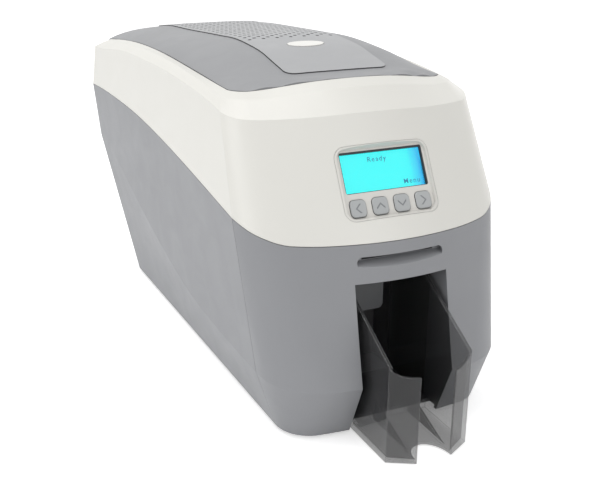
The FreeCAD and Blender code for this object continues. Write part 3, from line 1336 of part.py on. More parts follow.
keep(solid("ribbon_motor_plate_shape", ribbon_motor_plate()), "ribbon_motor_plate")
keep(solid("ribbon_motor_shape",
           Part.makeCylinder(mm.ribbon_motor_radius, mm.ribbon_motor_length, Vector(),
                             Vector(1, 0, 0)),
           Placement(pinion_spot + Vector(mm.gear_width + mm.gear_offset + mm.motor_plate_wall,
                                          0, 0), Rotation())), "ribbon_motor")

# Print head: a ceramic bar under a finned aluminium sink, in a bracket that
# hangs from two rails in the lid.

head_z = "path_z + card_clearance + film_thickness + 2 * film_gap"
keep(box("head_bar", "head_length", "head_width", "head_thickness", "0",
         "front_y + platen_set - head_width / 2", head_z), "print_head")


def sink_outline(sketch):
    """End view of the sink: a flat base with five fins."""
    fins = 5
    low = f"{head_z} + head_thickness"
    left = "front_y + platen_set - sink_width / 2"
    corners = [(left, low), (f"{left} + sink_width", low)]
    gap = f"(sink_width - fin_thickness) / {fins - 1}"
    for i in reversed(range(fins)):
        start = f"{left} + {i} * {gap}"
        corners += [(f"{start} + fin_thickness", f"{low} + sink_height"),
                    (start, f"{low} + sink_height")]
        if i:
            corners += [(start, f"{low} + sink_base"),
                        (f"{left} + {i - 1} * {gap} + fin_thickness", f"{low} + sink_base")]
    draw_outline(sketch, corners)


keep(padded("finned_sink", "YZ_Plane", "-head_length / 2", "head_length", sink_outline),
     "head_heat_sink")

sink_low = f"{head_z} + head_thickness"
bracket_high = f"feet_height + bracket_top_height - ({sink_low})"
cheeks = [box("bracket_cheek", "bracket_wall", "sink_width", bracket_high,
              f"{side}(head_length / 2 + bracket_wall / 2)",
              "front_y + platen_set - sink_width / 2", sink_low) for side in ("-", "")]
bridge = box("bracket_bridge", "head_length + 2 * bracket_wall", "sink_width", "bracket_wall",
             "0", "front_y + platen_set - sink_width / 2",
             "feet_height + bracket_top_height - bracket_wall")
keep(fuse("bracket_shape", bridge, *cheeks), "print_head_bracket")


def lid_latch():
    """Hook lever under the button: an arm forwards, a leg down and a nose."""
    half = mm.latch_width / 2
    wall = mm.latch_wall
    at, up = mm.latch_set, mm.latch_height
    arm = span_box(-half, half, mm.button_set - wall, at, up, up + wall)
    leg = span_box(-half, half, at - wall / 2, at + wall / 2, up - mm.latch_drop, up + wall)
    nose = span_box(-half, half, at - wall / 2 - mm.latch_nose, at, up - mm.latch_drop,
                    up - mm.latch_drop + wall)
    hub = Part.makeCylinder(wall, 2 * half, Vector(-half, mm.front_y + at, mm.feet_height + up),
                            Vector(1, 0, 0))
    pin = Part.makeCylinder(mm.latch_pin_radius, 4 * half,
                            Vector(-2 * half, mm.front_y + at, mm.feet_height + up),
                            Vector(1, 0, 0))
    return leg.fuse([arm, nose, hub, pin])


def latch_ears():
    """Two ears that hang from the lid and hold the latch pin."""
    half = mm.latch_width / 2
    wall = mm.latch_wall
    ears = []
    for side in (-1, 1):
        near = side * (half + mm.arm_clear)
        ends = sorted((near, near + side * wall))
        ear = span_box(ends[0], ends[1], mm.latch_set - 2 * wall, mm.latch_set + 2 * wall,
                       mm.latch_height - 2 * wall, crown_high)
        ears.append(ear.common(crown_block(mm.lid_wall + mm.strip_gap)))
    bore = Part.makeCylinder(mm.latch_pin_radius + mm.hinge_pin_gap, 6 * half,
                             Vector(-3 * half, mm.front_y + mm.latch_set,
                                    mm.feet_height + mm.latch_height), Vector(1, 0, 0))
    return Part.makeCompound([ear.cut(bore) for ear in ears])


keep(solid("lid_latch_shape", lid_latch()), "lid_latch")
keep(solid("latch_ears_shape", latch_ears()), "latch_ears")

# Electronics: the main board stands beside the right plate, the power supply
# between the plates, and the sockets sit in the rear panel.


def board_outline(sketch):
    draw_outline(sketch, rectangle(
        "front_y + mainboard_front_set", "front_y + mainboard_front_set + mainboard_length",
        "feet_height + mainboard_low_height",
        "feet_height + mainboard_low_height + mainboard_height"))


bare_board = padded("bare_board", "YZ_Plane", "frame_outer + mainboard_standoff",
                    "board_thickness", board_outline)
board_parts = [bare_board]
for at in ("standoff_radius * 2", "mainboard_length - standoff_radius * 2"):
    for up in ("standoff_radius * 2", "mainboard_height - standoff_radius * 2"):
        board_parts.append(rod(
            "board_standoff", "X", "standoff_radius", "mainboard_standoff", "frame_outer",
            f"front_y + mainboard_front_set + {at}",
            f"feet_height + mainboard_low_height + {up}"))
for share in ("0.2", "0.55"):
    board_parts.append(box(
        "board_chip", "chip_height", "chip_size", "chip_size",
        "frame_outer + mainboard_standoff + board_thickness + chip_height / 2",
        f"front_y + mainboard_front_set + mainboard_length * {share}",
        f"feet_height + mainboard_low_height + mainboard_height * {share}"))
keep(fuse("main_board_shape", *board_parts), "main_board")

keep(box("supply_case", "2 * supply_half_width", "supply_length", "supply_height", "0",
         "front_y + supply_front_set", "floor_z"), "power_supply")

socket_z = "feet_height + port_height"
inlet_body = box("inlet_body", "inlet_width", "inlet_depth", "inlet_height", "inlet_x",
                 "rear_y - inlet_depth", f"{socket_z} - inlet_height / 2")
inlet_rim = box("inlet_rim", "inlet_width + 2 * inlet_flange", "inlet_lip",
                "inlet_height + 2 * inlet_flange", "inlet_x", "rear_y",
                f"{socket_z} - inlet_height / 2 - inlet_flange")
inlet_well = box("inlet_well", "inlet_width - 2 * inlet_lip", "inlet_depth",
                 "inlet_height - 2 * inlet_lip", "inlet_x",
                 "rear_y - inlet_depth + 2 * inlet_lip",
                 f"{socket_z} - inlet_height / 2 + inlet_lip")
inlet_pins = []
for across, up in (("-pin_pitch", "-pin_pitch / 4"), ("0", "pin_pitch / 4"),
                   ("pin_pitch", "-pin_pitch / 4")):
    inlet_pins.append(box("inlet_pin", "pin_thickness", "pin_length", "pin_width",
                          f"inlet_x + {across}", "rear_y - inlet_depth + inlet_lip",
                          f"{socket_z} + {up} - pin_width / 2"))
inlet_cup = cut("inlet_cup", fuse("inlet_block", inlet_body, inlet_rim), inlet_well)
keep(fuse("inlet_shape", inlet_cup, *inlet_pins), "power_inlet")

usb_case = box("usb_case", "usb_width", "usb_depth", "usb_height", "usb_x",
               "rear_y - usb_depth + usb_wall / 2", f"{socket_z} - usb_height / 2")
usb_well = box("usb_well", "usb_width - 2 * usb_wall", "usb_depth",
               "usb_height - 2 * usb_wall", "usb_x", "rear_y - usb_depth + 3 * usb_wall",
               f"{socket_z} - usb_height / 2 + usb_wall")
usb_tongue = box("usb_tongue", "usb_width / 2", "usb_depth / 2", "usb_height / 4",
                 "usb_x", "rear_y - usb_depth + usb_wall", f"{socket_z} - usb_height / 8")
keep(fuse("usb_shape", cut("usb_shell", usb_case, usb_well), usb_tongue), "usb_socket")

network_case = box("network_case", "network_width", "network_depth", "network_height",
                   "network_x", "rear_y - network_depth + network_wall / 2",
                   f"{socket_z} - network_height / 2")
network_well = box("network_well", "network_width - 2 * network_wall", "network_depth",
                   "network_height * 0.55", "network_x",
                   "rear_y - network_depth + 3 * network_wall",
                   f"{socket_z} - network_height * 0.35")
network_key = box("network_key", "network_width * 0.4", "network_depth",
                  "network_height * 0.2", "network_x",
                  "rear_y - network_depth + 3 * network_wall",
                  f"{socket_z} + network_height * 0.15")
keep(cut("network_shape", network_case, network_well, network_key), "network_socket")

# Power switch: a rocker in a snap-in frame. It is shown pressed to one side.

switch_case = box("switch_case", "switch_width", "switch_depth", "switch_height", "switch_x",
                  "rear_y - switch_depth", f"{socket_z} - switch_height / 2")
switch_rim = box("switch_rim", "switch_width + 2 * switch_frame", "switch_lip",
                 "switch_height + 2 * switch_frame", "switch_x", "rear_y",
                 f"{socket_z} - switch_height / 2 - switch_frame")
switch_well = box("switch_well", "switch_width - 2 * switch_frame", "switch_depth",
                  "switch_height - 2 * switch_frame", "switch_x",
                  "rear_y - switch_depth + 2 * switch_lip",
                  f"{socket_z} - switch_height / 2 + switch_frame")
keep(cut("switch_shape", fuse("switch_block", switch_case, switch_rim), switch_well),
     "switch_frame")


def rocker():
    """Rocker seen from the side: a shallow V outside and a round heel inside."""
    half = mm.switch_height / 2 - mm.switch_frame - mm.switch_gap
    wide = mm.switch_width - 2 * mm.switch_frame - 2 * mm.switch_gap
    heel = half * 0.55
    proud = mm.rocker_proud
    corners = [(-heel, -half * 0.5), (-heel, half * 0.5), (-heel * 0.2, half * 0.92),
               (proud, half * 0.92), (-proud / 2, 0), (proud, -half * 0.92),
               (-heel * 0.2, -half * 0.92)]
    points = [Vector(-wide / 2, y, z) for y, z in corners]
    return Part.Face(Part.makePolygon(points + points[:1])).extrude(Vector(wide, 0, 0))


switch_spot = Vector(mm.switch_x, mm.rear_y, mm.feet_height + mm.port_height)
keep(solid("rocker_shape", rocker(),
           Placement(switch_spot, Rotation(Vector(1, 0, 0), -mm.switch_tilt))), "power_rocker")

# Fan: a square frame behind the slots of the rear panel with a bladed rotor.

fan_y = "rear_y - shell_wall - fan_depth"
fan_block = box("fan_block", "fan_size", "fan_depth", "fan_size", "fan_x", fan_y,
                f"{socket_z} - fan_size / 2")
fan_bore = rod("fan_bore", "Y", "fan_bore_radius", "fan_depth", "fan_x", fan_y, socket_z)
fan_spider = box("fan_spider", "fan_size - fan_axle_radius", "fan_axle_radius / 2",
                 "fan_axle_radius * 2", "fan_x", fan_y, f"{socket_z} - fan_axle_radius")
fan_axle = rod("fan_axle", "Y", "fan_axle_radius", "fan_depth / 2", "fan_x", fan_y, socket_z)
keep(fuse("fan_shape", cut("fan_ring", fan_block, fan_bore), fan_spider, fan_axle),
     "fan_frame")


def fan_rotor():
    """Hub with seven slanted blades on the frame's axle."""
    blades = 7
    depth = mm.fan_depth * 0.7
    hub = Part.makeCylinder(mm.fan_hub_radius, depth, Vector(), Vector(0, 1, 0))
    reach = mm.fan_blade_radius - mm.fan_hub_radius / 2
    wing = Part.makeBox(reach, depth * 1.1, mm.fan_blade_thickness,
                        Vector(mm.fan_hub_radius / 2, 0, -mm.fan_blade_thickness / 2))
    wing.rotate(Vector(0, depth / 2, 0), Vector(1, 0, 0), 35)
    trim = Part.makeCylinder(mm.fan_blade_radius, depth, Vector(), Vector(0, 1, 0))
    wings = []
    for i in range(blades):
        blade = wing.copy()
        blade.rotate(Vector(), Vector(0, 1, 0), 360 / blades * i)
        wings.append(blade.common(trim))
    bore = Part.makeCylinder(mm.fan_axle_radius + mm.shaft_gap, mm.fan_depth / 2,
                             Vector(0, -mm.fan_axle_radius, 0), Vector(0, 1, 0))
    return hub.fuse(wings).cut(bore)


rotor_spot = Vector(mm.fan_x, mm.rear_y - mm.shell_wall - mm.fan_depth * 0.8,
                    mm.feet_height + mm.port_height)
keep(solid("fan_rotor_shape", fan_rotor(), Placement(rotor_spot, Rotation())), "fan_rotor")

doc.recompute()
for item in doc.Objects:
    broken = [state for state in item.State if state in ("Invalid", "Error")]
    if broken:
        raise RuntimeError(f"{item.Label} is {broken}")
for piece in subparts:
    shape = piece.Shape
    if shape.isNull() or not shape.isValid() or not shape.Solids:
        raise RuntimeError(f"{piece.Label} is not a sound solid")
for piece in subparts:
    piece.Shape.exportStep(f"parts/{piece.Label}.step")
print(len(subparts), "sub-parts written")
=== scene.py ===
import math

import bmesh
import bpy
from mathutils import Matrix, Vector


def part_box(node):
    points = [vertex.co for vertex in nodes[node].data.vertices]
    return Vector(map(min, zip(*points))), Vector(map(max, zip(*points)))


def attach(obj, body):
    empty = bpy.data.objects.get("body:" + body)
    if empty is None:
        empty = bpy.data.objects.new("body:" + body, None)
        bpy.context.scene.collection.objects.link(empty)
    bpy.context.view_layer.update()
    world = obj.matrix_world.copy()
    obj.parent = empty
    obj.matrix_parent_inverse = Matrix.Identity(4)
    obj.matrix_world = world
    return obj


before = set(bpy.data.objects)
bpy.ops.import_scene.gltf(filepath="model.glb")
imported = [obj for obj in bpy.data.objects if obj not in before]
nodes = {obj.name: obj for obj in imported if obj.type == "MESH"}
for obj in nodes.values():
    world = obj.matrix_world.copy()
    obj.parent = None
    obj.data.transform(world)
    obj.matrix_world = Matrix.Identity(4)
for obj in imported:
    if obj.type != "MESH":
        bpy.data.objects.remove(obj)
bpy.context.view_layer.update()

# The base tray is the moulded floor that the covers close over, injection moulded
# in grey ABS with a fine spark texture, screwed from below. All the grey and white
# mouldings share the texture that is set up here, which also paints shade into
# their hollows, creases and gaps.
METRE = 1.0
MM = METRE / 1000
NOISE_LOW, NOISE_HIGH = 0.3, 0.7


def connect(tree, node, inputs):
    """Feed a node: a socket is linked, a triple is a colour and a number is set."""
    for name, source in inputs.items():
        socket = node.inputs[name]
        if isinstance(source, bpy.types.NodeSocket):
            tree.links.new(source, socket)
        elif socket.type == "RGBA":
            socket.default_value = (*source, 1)
        else:
            socket.default_value = source


def add_node(tree, kind, inputs=None, **settings):
    """A shader node with its settings and whatever feeds it."""
    node = tree.nodes.new("ShaderNode" + kind)
    for name, setting in settings.items():
        setattr(node, name, setting)
    connect(tree, node, inputs or {})
    return node


def own_place(tree):
    """Where a point lies in its piece's own space, so that looks move with the piece."""
    return add_node(tree, "TexCoord").outputs["Object"]


def noise(tree, scale, detail=2.0, place=None, **values):
    """Cloudy noise, whose values lie mostly between NOISE_LOW and NOISE_HIGH."""
    inputs = {"Vector": place or own_place(tree), "Scale": scale, "Detail": detail, **values}
    return add_node(tree, "TexNoise", inputs).outputs["Fac"]


def remap(tree, value, start, end, low=0.0, high=1.0):
    """The stretch of a value from start to end, carried over to low to high."""
    inputs = {"Value": value, "From Min": start, "From Max": end, "To Min": low, "To Max": high}
    return add_node(tree, "MapRange", inputs).outputs[0]


def maths(tree, operation, first, second=0.0):
    return add_node(tree, "Math", {0: first, 1: second}, operation=operation).outputs[0]


def toned(tree, colour, level):
    """A colour made lighter or darker."""
    return add_node(tree, "HueSaturation", {"Color": colour, "Value": level}).outputs["Color"]


def bumped(tree, height, strength, depth, **more):
    """The normal of a surface that a height raises, by up to a depth."""
    inputs = {"Height": height, "Strength": strength, "Distance": depth, **more}
    return add_node(tree, "Bump", inputs).outputs["Normal"]


def softened(tree, radius, samples=4):
    """The normal of a form whose edges are a little rounded."""
    return add_node(tree, "Bevel", {"Radius": radius}, samples=samples).outputs["Normal"]


def add_sockets(group, in_out, sockets):
    """Named sockets on a shader group; a number is a value and a triple a colour."""
    for name, default in sockets.items():
        kind = "NodeSocketColor" if isinstance(default, tuple) else "NodeSocketFloat"
        kind = "NodeSocketVector" if default == "vector" else kind
        socket = group.interface.new_socket(name=name, in_out=in_out, socket_type=kind)
        if in_out == "INPUT" and default != "vector":
            socket.default_value = (*default, 1) if isinstance(default, tuple) else default


def grouped(name, inputs, outputs, build):
    """A shader node group that is built once and placed in many materials."""
    group = bpy.data.node_groups.new(name, "ShaderNodeTree")
    add_sockets(group, "INPUT", inputs)
    add_sockets(group, "OUTPUT", outputs)
    entry = group.nodes.new("NodeGroupInput")
    leave = group.nodes.new("NodeGroupOutput")
    connect(group, leave, build(group, entry.outputs))
    return group


def plain_material(name, roughness, **sockets):
    """An empty material with its shader, and values that hold all over it."""
    material = bpy.data.materials.new(name)
    material.use_nodes = True
    shader = material.node_tree.nodes["Principled BSDF"]
    shader.inputs["Roughness"].default_value = roughness
    for socket, value in sockets.items():
        shader.inputs[socket.replace("_", " ")].default_value = value
    return material, material.node_tree, shader


def dress(material, *names):
    """Give CAD nodes their finished material."""
    for name in names:
        nodes[name].data.materials.clear()
        nodes[name].data.materials.append(material)


SHADE_REACH = 6 * MM
PAINTED_SHADE_DEPTH = 0.45
SPARK_DEPTH = 0.05 * MM


def build_moulding(tree, given):
    """Spark-eroded grain, a slow drift of tone, faint smears and painted shade in hollows."""
    grain = noise(tree, given["Grain density"], detail=3.0, Roughness=0.65)
    drift = noise(tree, 9.0)
    smear = noise(tree, 38.0, detail=5.0, Roughness=0.6, Distortion=0.8)
    tone = remap(tree, drift, NOISE_LOW, NOISE_HIGH, given["Tone drift"], 0.0)
    speck = remap(tree, grain, 0.35, 0.65, given["Grain tone"], 0.0)
    # Painted shade: ambient occlusion darkens the colour in hollows, creases, gaps and slots.
    shade_probe = add_node(tree, "AmbientOcclusion", {"Distance": SHADE_REACH}, samples=4)
    painted_shade = remap(tree, shade_probe.outputs["AO"], 0.2, 0.8, PAINTED_SHADE_DEPTH, 0.0)
    darker = maths(tree, "ADD", maths(tree, "ADD", tone, speck), painted_shade)
    rough = remap(tree, smear, NOISE_LOW, NOISE_HIGH, 0.05, -0.05)
    return {"Colour": toned(tree, given["Colour"], maths(tree, "SUBTRACT", 1.0, darker)),
            "Roughness": maths(tree, "ADD", given["Roughness"], rough),
            "Normal": bumped(tree, grain, given["Grain depth"], SPARK_DEPTH,
                             Normal=given["Normal"])}


moulding = grouped(
    "moulded_surface",
    {"Colour": (0.5, 0.5, 0.5), "Roughness": 0.45, "Grain density": 1800.0,
     "Grain depth": 0.3, "Grain tone": 0.02, "Tone drift": 0.015, "Normal": "vector"},
    {"Colour": (0.5, 0.5, 0.5), "Roughness": 0.0, "Normal": "vector"}, build_moulding)


def moulded(name, colour, roughness=0.45, density=1800.0, depth=0.3, tone=0.02, drift=0.015,
            edge=0.25):
    """Moulded plastic: the shared surface, with its painted shade in hollows, over edges that
    are a little rounded.
    """
    material, tree, shader = plain_material(name, roughness)
    surface = add_node(tree, "Group", {
        "Colour": colour, "Roughness": roughness, "Grain density": density,
        "Grain depth": depth, "Grain tone": tone, "Tone drift": drift,
        "Normal": softened(tree, edge * MM)}, node_tree=moulding).outputs
    connect(tree, shader, {"Base Color": surface["Colour"], "Normal": surface["Normal"],
                           "Roughness": surface["Roughness"]})
    return material


CASE_GREY = (0.288, 0.293, 0.308)
case_moulding = moulded("case_grey_moulding", CASE_GREY, 0.5)
dress(case_moulding, "base_tray")

# The feet are round pads of soft black rubber, each with a peg that is pressed
# into the tray. The tray's screws are zinc-plated and sunk in its bosses.


def blend(tree, factor, first, second):
    """The first colour turning into the second as the factor grows."""
    return add_node(tree, "Mix", {"Factor": factor, "A": first, "B": second},
                    data_type="RGBA").outputs["Result"]


DUST_GREY = (0.3, 0.3, 0.3)


def build_rubber(tree, given):
    """Ground rubber: fine pits and a dusty bloom that lightens it in patches."""
    share = remap(tree, noise(tree, 60.0, detail=4.0), 0.45, 0.75, 0.0, given["Bloom"])
    return {"Colour": blend(tree, share, given["Colour"], DUST_GREY),
            "Normal": bumped(tree, noise(tree, 2600.0), strength=0.5, depth=0.06 * MM)}


rubber_surface = grouped("rubber_surface", {"Colour": (0.02, 0.02, 0.02), "Bloom": 0.15},
                         {"Colour": (0.0, 0.0, 0.0), "Normal": "vector"}, build_rubber)


def rubber(name, colour, bloom=0.15):
    """Dull rubber under the shared bloom."""
    material, tree, shader = plain_material(name, 0.75)
    surface = add_node(tree, "Group", {"Colour": colour, "Bloom": bloom},
                       node_tree=rubber_surface).outputs
    connect(tree, shader, {"Base Color": surface["Colour"], "Normal": surface["Normal"]})
    return material


ROLLING_STRETCH = (20.0, 400.0, 400.0)


def build_plating(tree, given):
    """Rolled or turned metal: fine lines along one axis and a cloudy polish."""
    stretched = add_node(tree, "Mapping", {"Vector": own_place(tree), "Scale": ROLLING_STRETCH})
    lines = noise(tree, 3.0, detail=4.0, place=stretched.outputs["Vector"])
    rough = remap(tree, noise(tree, 45.0, detail=4.0), NOISE_LOW, NOISE_HIGH, -0.08, 0.1)
    level = remap(tree, lines, NOISE_LOW, NOISE_HIGH, 0.88, 1.05)
    return {"Colour": toned(tree, given["Colour"], level),
            "Roughness": maths(tree, "ADD", given["Roughness"], rough),
            "Normal": bumped(tree, lines, strength=0.15, depth=0.02 * MM)}


plated_surface = grouped(
    "plated_surface", {"Colour": (0.6, 0.6, 0.6), "Roughness": 0.35},
    {"Colour": (0.6, 0.6, 0.6), "Roughness": 0.0, "Normal": "vector"}, build_plating)


def metal(name, colour, roughness):
    """Metal with the shared rolling lines and polish."""
    material, tree, shader = plain_material(name, roughness, Metallic=1.0)
    surface = add_node(tree, "Group", {"Colour": colour, "Roughness": roughness},
                       node_tree=plated_surface).outputs
    connect(tree, shader, {"Base Color": surface["Colour"], "Normal": surface["Normal"],
                           "Roughness": surface["Roughness"]})
    return material


dress(rubber("foot_rubber", (0.025, 0.025, 0.026)), "rubber_feet")
zinc = metal("zinc_plated_steel", (0.62, 0.63, 0.64), 0.38)
dress(zinc, "case_screws")

# The chassis is two punched steel plates tied by turned bars. Bronze bushes
# carry the shafts, and a bright bar near the top waits for the lid's hook.
dress(zinc, "chassis_plate_left", "chassis_plate_right", "chassis_tie_bars", "latch_striker",
      "lid_hinge_pins", "ribbon_motor_plate")
dress(metal("sintered_bronze", (0.50, 0.36, 0.20), 0.5), "shaft_bushes")

# The bay behind the doorway is a charcoal moulding, and the small drive parts are
# black. The gate that hangs in the doorway is dark grey, the feed guide mid grey.
dress(moulded("bay_black_moulding", (0.12, 0.12, 0.122), 0.5), "hopper_bay")
black_moulding = moulded("black_moulding", (0.04, 0.04, 0.041), 0.45, tone=0.05)
dress(black_moulding, "motor_pulley", "lid_latch", "ribbon_pinion", "takeup_gear",
      "print_head_bracket", "fan_frame", "fan_rotor")
dress(moulded("gate_grey_moulding", (0.045, 0.047, 0.05), 0.42), "card_gate")
dress(moulded("guide_grey_moulding", (0.17, 0.172, 0.18), 0.5), "card_tray")

# The rollers are steel shafts with bonded sleeves: grey rubber on the driven
# ones and the platen, and tacky blue silicone on the cleaning roller.
SHAFT_RADIUS = 3.2 * MM
SHAFT_STEEL = (0.6, 0.6, 0.61)
SHAFT_ROUGHNESS = 0.3
DRIVEN_SLEEVE = (0.12, 0.12, 0.13)
PINCH_SLEEVE = (0.3, 0.3, 0.31)


def vectors(tree, operation, first, second=(0.0, 0.0, 0.0), output="Vector"):
    return add_node(tree, "VectorMath", {0: first, 1: second},
                    operation=operation).outputs[output]


def banded(name, inner, outer, radius, centre, inner_metal=1.0, outer_rough=0.6):
    """One solid in two materials: a shaft inside a radius round X, a sleeve outside."""
    material, tree, shader = plain_material(name, outer_rough)
    apart = vectors(tree, "SUBTRACT", own_place(tree), centre)
    across = vectors(tree, "MULTIPLY", apart, (0.0, 1.0, 1.0))
    outside = maths(tree, "GREATER_THAN", vectors(tree, "LENGTH", across, output="Value"),
                    radius)
    grain = noise(tree, 900.0, detail=3.0)
    tint = remap(tree, grain, NOISE_LOW, NOISE_HIGH, 0.85, 1.1)
    connect(tree, shader, {
        "Base Color": toned(tree, blend(tree, outside, inner, outer), tint),
        "Metallic": remap(tree, outside, 0.0, 1.0, inner_metal, 0.0),
        "Roughness": remap(tree, outside, 0.0, 1.0, SHAFT_ROUGHNESS, outer_rough),
        "Normal": bumped(tree, grain, strength=0.2, depth=0.05 * MM)})
    return material


def middle(name):
    low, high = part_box(name)
    return (low + high) / 2


for name, sleeve in (("feed_roller_front", DRIVEN_SLEEVE), ("feed_roller_rear", DRIVEN_SLEEVE),
                     ("platen_roller", (0.05, 0.05, 0.055)),
                     ("pinch_roller_front", PINCH_SLEEVE), ("pinch_roller_rear", PINCH_SLEEVE),
                     ("cleaning_roller", (0.06, 0.16, 0.42))):
    dress(banded(name + "_finish", SHAFT_STEEL, sleeve, SHAFT_RADIUS, middle(name)), name)
dress(rubber("belt_rubber", (0.02, 0.02, 0.02), 0.05), "drive_belt")
dress(metal("motor_can_steel", (0.45, 0.46, 0.48), 0.45), "drive_motor", "ribbon_motor")

# The ribbon is a coated film on two moulded spools: the supply roll shows its
# coloured panels, and the take-up roll the dark spent film.
CORE_RADIUS = 9.4 * MM
CORE_WHITE = (0.75, 0.75, 0.72)
FILM_ROUGHNESS = 0.25
for spool, film in (("supply", (0.32, 0.05, 0.16)), ("takeup", (0.03, 0.03, 0.04))):
    node = "ribbon_%s_spool" % spool
    dress(banded(spool + "_roll_finish", CORE_WHITE, film, CORE_RADIUS, middle(node),
                 0.0, FILM_ROUGHNESS), node)


def ramp(tree, value, stops, interpolation="LINEAR"):
    """Colours along a value, given as pairs of a place and a colour."""
    node = add_node(tree, "ValToRGB", {"Fac": value})
    node.color_ramp.interpolation = interpolation
    elements = node.color_ramp.elements
    while len(elements) < len(stops):
        elements.new(1.0)
    for element, (place, colour) in zip(elements, stops):
        element.position = place
        element.color = (*colour, 1)
    return node.outputs["Color"]


PANEL_SETS_PER_METRE = 11.0
PANELS = ((0.0, (0.75, 0.6, 0.03)), (0.28, (0.5, 0.02, 0.14)), (0.56, (0.02, 0.2, 0.5)),
          (0.84, (0.01, 0.01, 0.01)))


def film_material():
    """Panels of yellow, magenta, blue and black along the film."""
    material, tree, shader = plain_material("ribbon_film_coat", 0.2)
    split = add_node(tree, "SeparateXYZ", {"Vector": own_place(tree)}).outputs
    sets = maths(tree, "MULTIPLY", split["Y"], PANEL_SETS_PER_METRE)
    connect(tree, shader, {
        "Base Color": ramp(tree, maths(tree, "FRACT", sets), PANELS, "CONSTANT"),
        "Normal": bumped(tree, noise(tree, 70.0, detail=3.0), strength=0.2, depth=0.2 * MM)})
    return material


dress(film_material(), "ribbon_film")

# The print head is a glazed ceramic bar bonded under an extruded aluminium
# sink; the bracket above clips to two rails in the lid.
dress(moulded("glazed_ceramic", (0.78, 0.77, 0.72), 0.25, depth=0.05), "print_head")
dress(metal("extruded_aluminium", (0.78, 0.79, 0.80), 0.4), "head_heat_sink")

# The electronics: a lacquered main board and key board, and a folded steel
# case round the power supply.
LACQUER_DARK, LACQUER_PALE = (0.015, 0.11, 0.04), (0.02, 0.14, 0.05)
TRACK_GREEN = (0.05, 0.28, 0.09)


def board_material():
    """Green lacquer over copper tracks that run in short straight lines."""
    material, tree, shader = plain_material("lacquered_board", 0.3, Coat_Weight=0.3)
    tracks = add_node(tree, "TexBrick", {
        "Vector": own_place(tree), "Scale": 130.0, "Mortar Size": 0.08,
        "Color1": LACQUER_DARK, "Color2": LACQUER_PALE, "Mortar": TRACK_GREEN}).outputs
    connect(tree, shader, {"Base Color": tracks["Color"],
                           "Normal": bumped(tree, tracks["Fac"], strength=0.2, depth=0.03 * MM)})
    return material


dress(board_material(), "main_board", "keypad_board")
dress(metal("supply_case_steel", (0.55, 0.56, 0.57), 0.42), "power_supply")

# The front bezel and side covers are the grey lower casing: textured ABS, 3 mm
# thick, clipped to the base tray and to each other along the raked joint.
dress(case_moulding, "front_bezel", "side_cover_left", "side_cover_right")

# The rear panel carries the sockets: black snap-in housings with tinned
# shells, and a rocker that stands in its frame.
dress(case_moulding, "rear_panel")
socket_black = moulded("socket_black", (0.02, 0.02, 0.021), 0.35, density=900.0)
dress(socket_black, "power_inlet", "switch_frame", "power_rocker")
dress(metal("tinned_shell", (0.66, 0.66, 0.64), 0.3), "usb_socket", "network_socket")

# The upper shell is the off-white moulding round the lid. It is smoother than
# the grey parts, with a warm tone, and seals the casing along the swept seam.
dress(moulded("off_white_moulding", (0.77, 0.76, 0.715), 0.38, depth=0.12, tone=0.006,
              drift=0.01, edge=0.45), "upper_shell")
# The display frame is toned a little greyer than the shell: painted shade for its dished walls.
dress(moulded("display_frame_shaded_moulding", (0.725, 0.71, 0.67), 0.35, depth=0.1, edge=0.45),
      "display_bezel")
dress(moulded("button_white_moulding", (0.88, 0.87, 0.83), 0.35, depth=0.1, edge=0.6),
      "lid_release_button")

# The display: a clear window over a backlit panel, set in a dished frame with
# a black liner that is painted shade on the window's walls, widest at the top and
# right where their shadow falls. The panel shows two plain words, such as any
# machine would.
FORWARD = -0.5


def facing(name):
    """Centre and normal of the largest flat face of a node that looks forward."""
    planes = {}
    for polygon in nodes[name].data.polygons:
        normal = polygon.normal
        if normal.y < FORWARD:
            offset = normal.dot(polygon.center)
            key = (*(round(part, 2) for part in normal), round(offset, 4))
            area, moment, total = planes.get(key, (0.0, Vector(), Vector()))
            planes[key] = (area + polygon.area, moment + polygon.center * polygon.area,
                           total + normal * polygon.area)
    area, moment, total = max(planes.values(), key=lambda plane: plane[0])
    return moment / area, total.normalized()


def upright(centre, normal):
    """Matrix whose X runs to the right, Y up the face and Z out of it."""
    across = Vector((1.0, 0.0, 0.0))
    up = normal.cross(across)
    return Matrix((
        (across.x, up.x, normal.x, centre.x), (across.y, up.y, normal.y, centre.y),
        (across.z, up.z, normal.z, centre.z), (0.0, 0.0, 0.0, 1.0)))


def add_piece(name, mesh, body, material):
    """A finished mesh as an object that moves with a body."""
    piece = bpy.data.objects.new(name, mesh)
    bpy.context.scene.collection.objects.link(piece)
    mesh.materials.clear()
    mesh.materials.append(material)
    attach(piece, body)


def plate_mesh(name, outlines, thickness, place):
    """Thin flat pieces from closed outlines, each a list of points, on a face."""
    mesh = bpy.data.meshes.new(name)
    form = bmesh.new()
    for outline in outlines:
        low = [form.verts.new((x, y, 0.0)) for x, y in outline]
        high = [form.verts.new((x, y, thickness)) for x, y in outline]
        form.faces.new(high)
        form.faces.new(low[::-1])
        for i, corner in enumerate(low):
            after = (i + 1) % len(low)
            form.faces.new((corner, low[after], high[after], high[i]))
    form.transform(place)
    bmesh.ops.recalc_face_normals(form, faces=form.faces)
    form.to_mesh(mesh)
    form.free()
    return mesh


FACING_START, FACING_FULL = 0.3, 0.5


def outward_mask(tree, outward):
    """One on the faces of a node that look outwards at rest, nought on the others."""
    normal = add_node(tree, "NewGeometry").outputs["True Normal"]
    own = add_node(tree, "VectorTransform", {"Vector": normal}, vector_type="NORMAL",
                   convert_from="WORLD", convert_to="OBJECT").outputs["Vector"]
    along = vectors(tree, "DOT_PRODUCT", own, outward, "Value")
    return remap(tree, along, FACING_START, FACING_FULL)


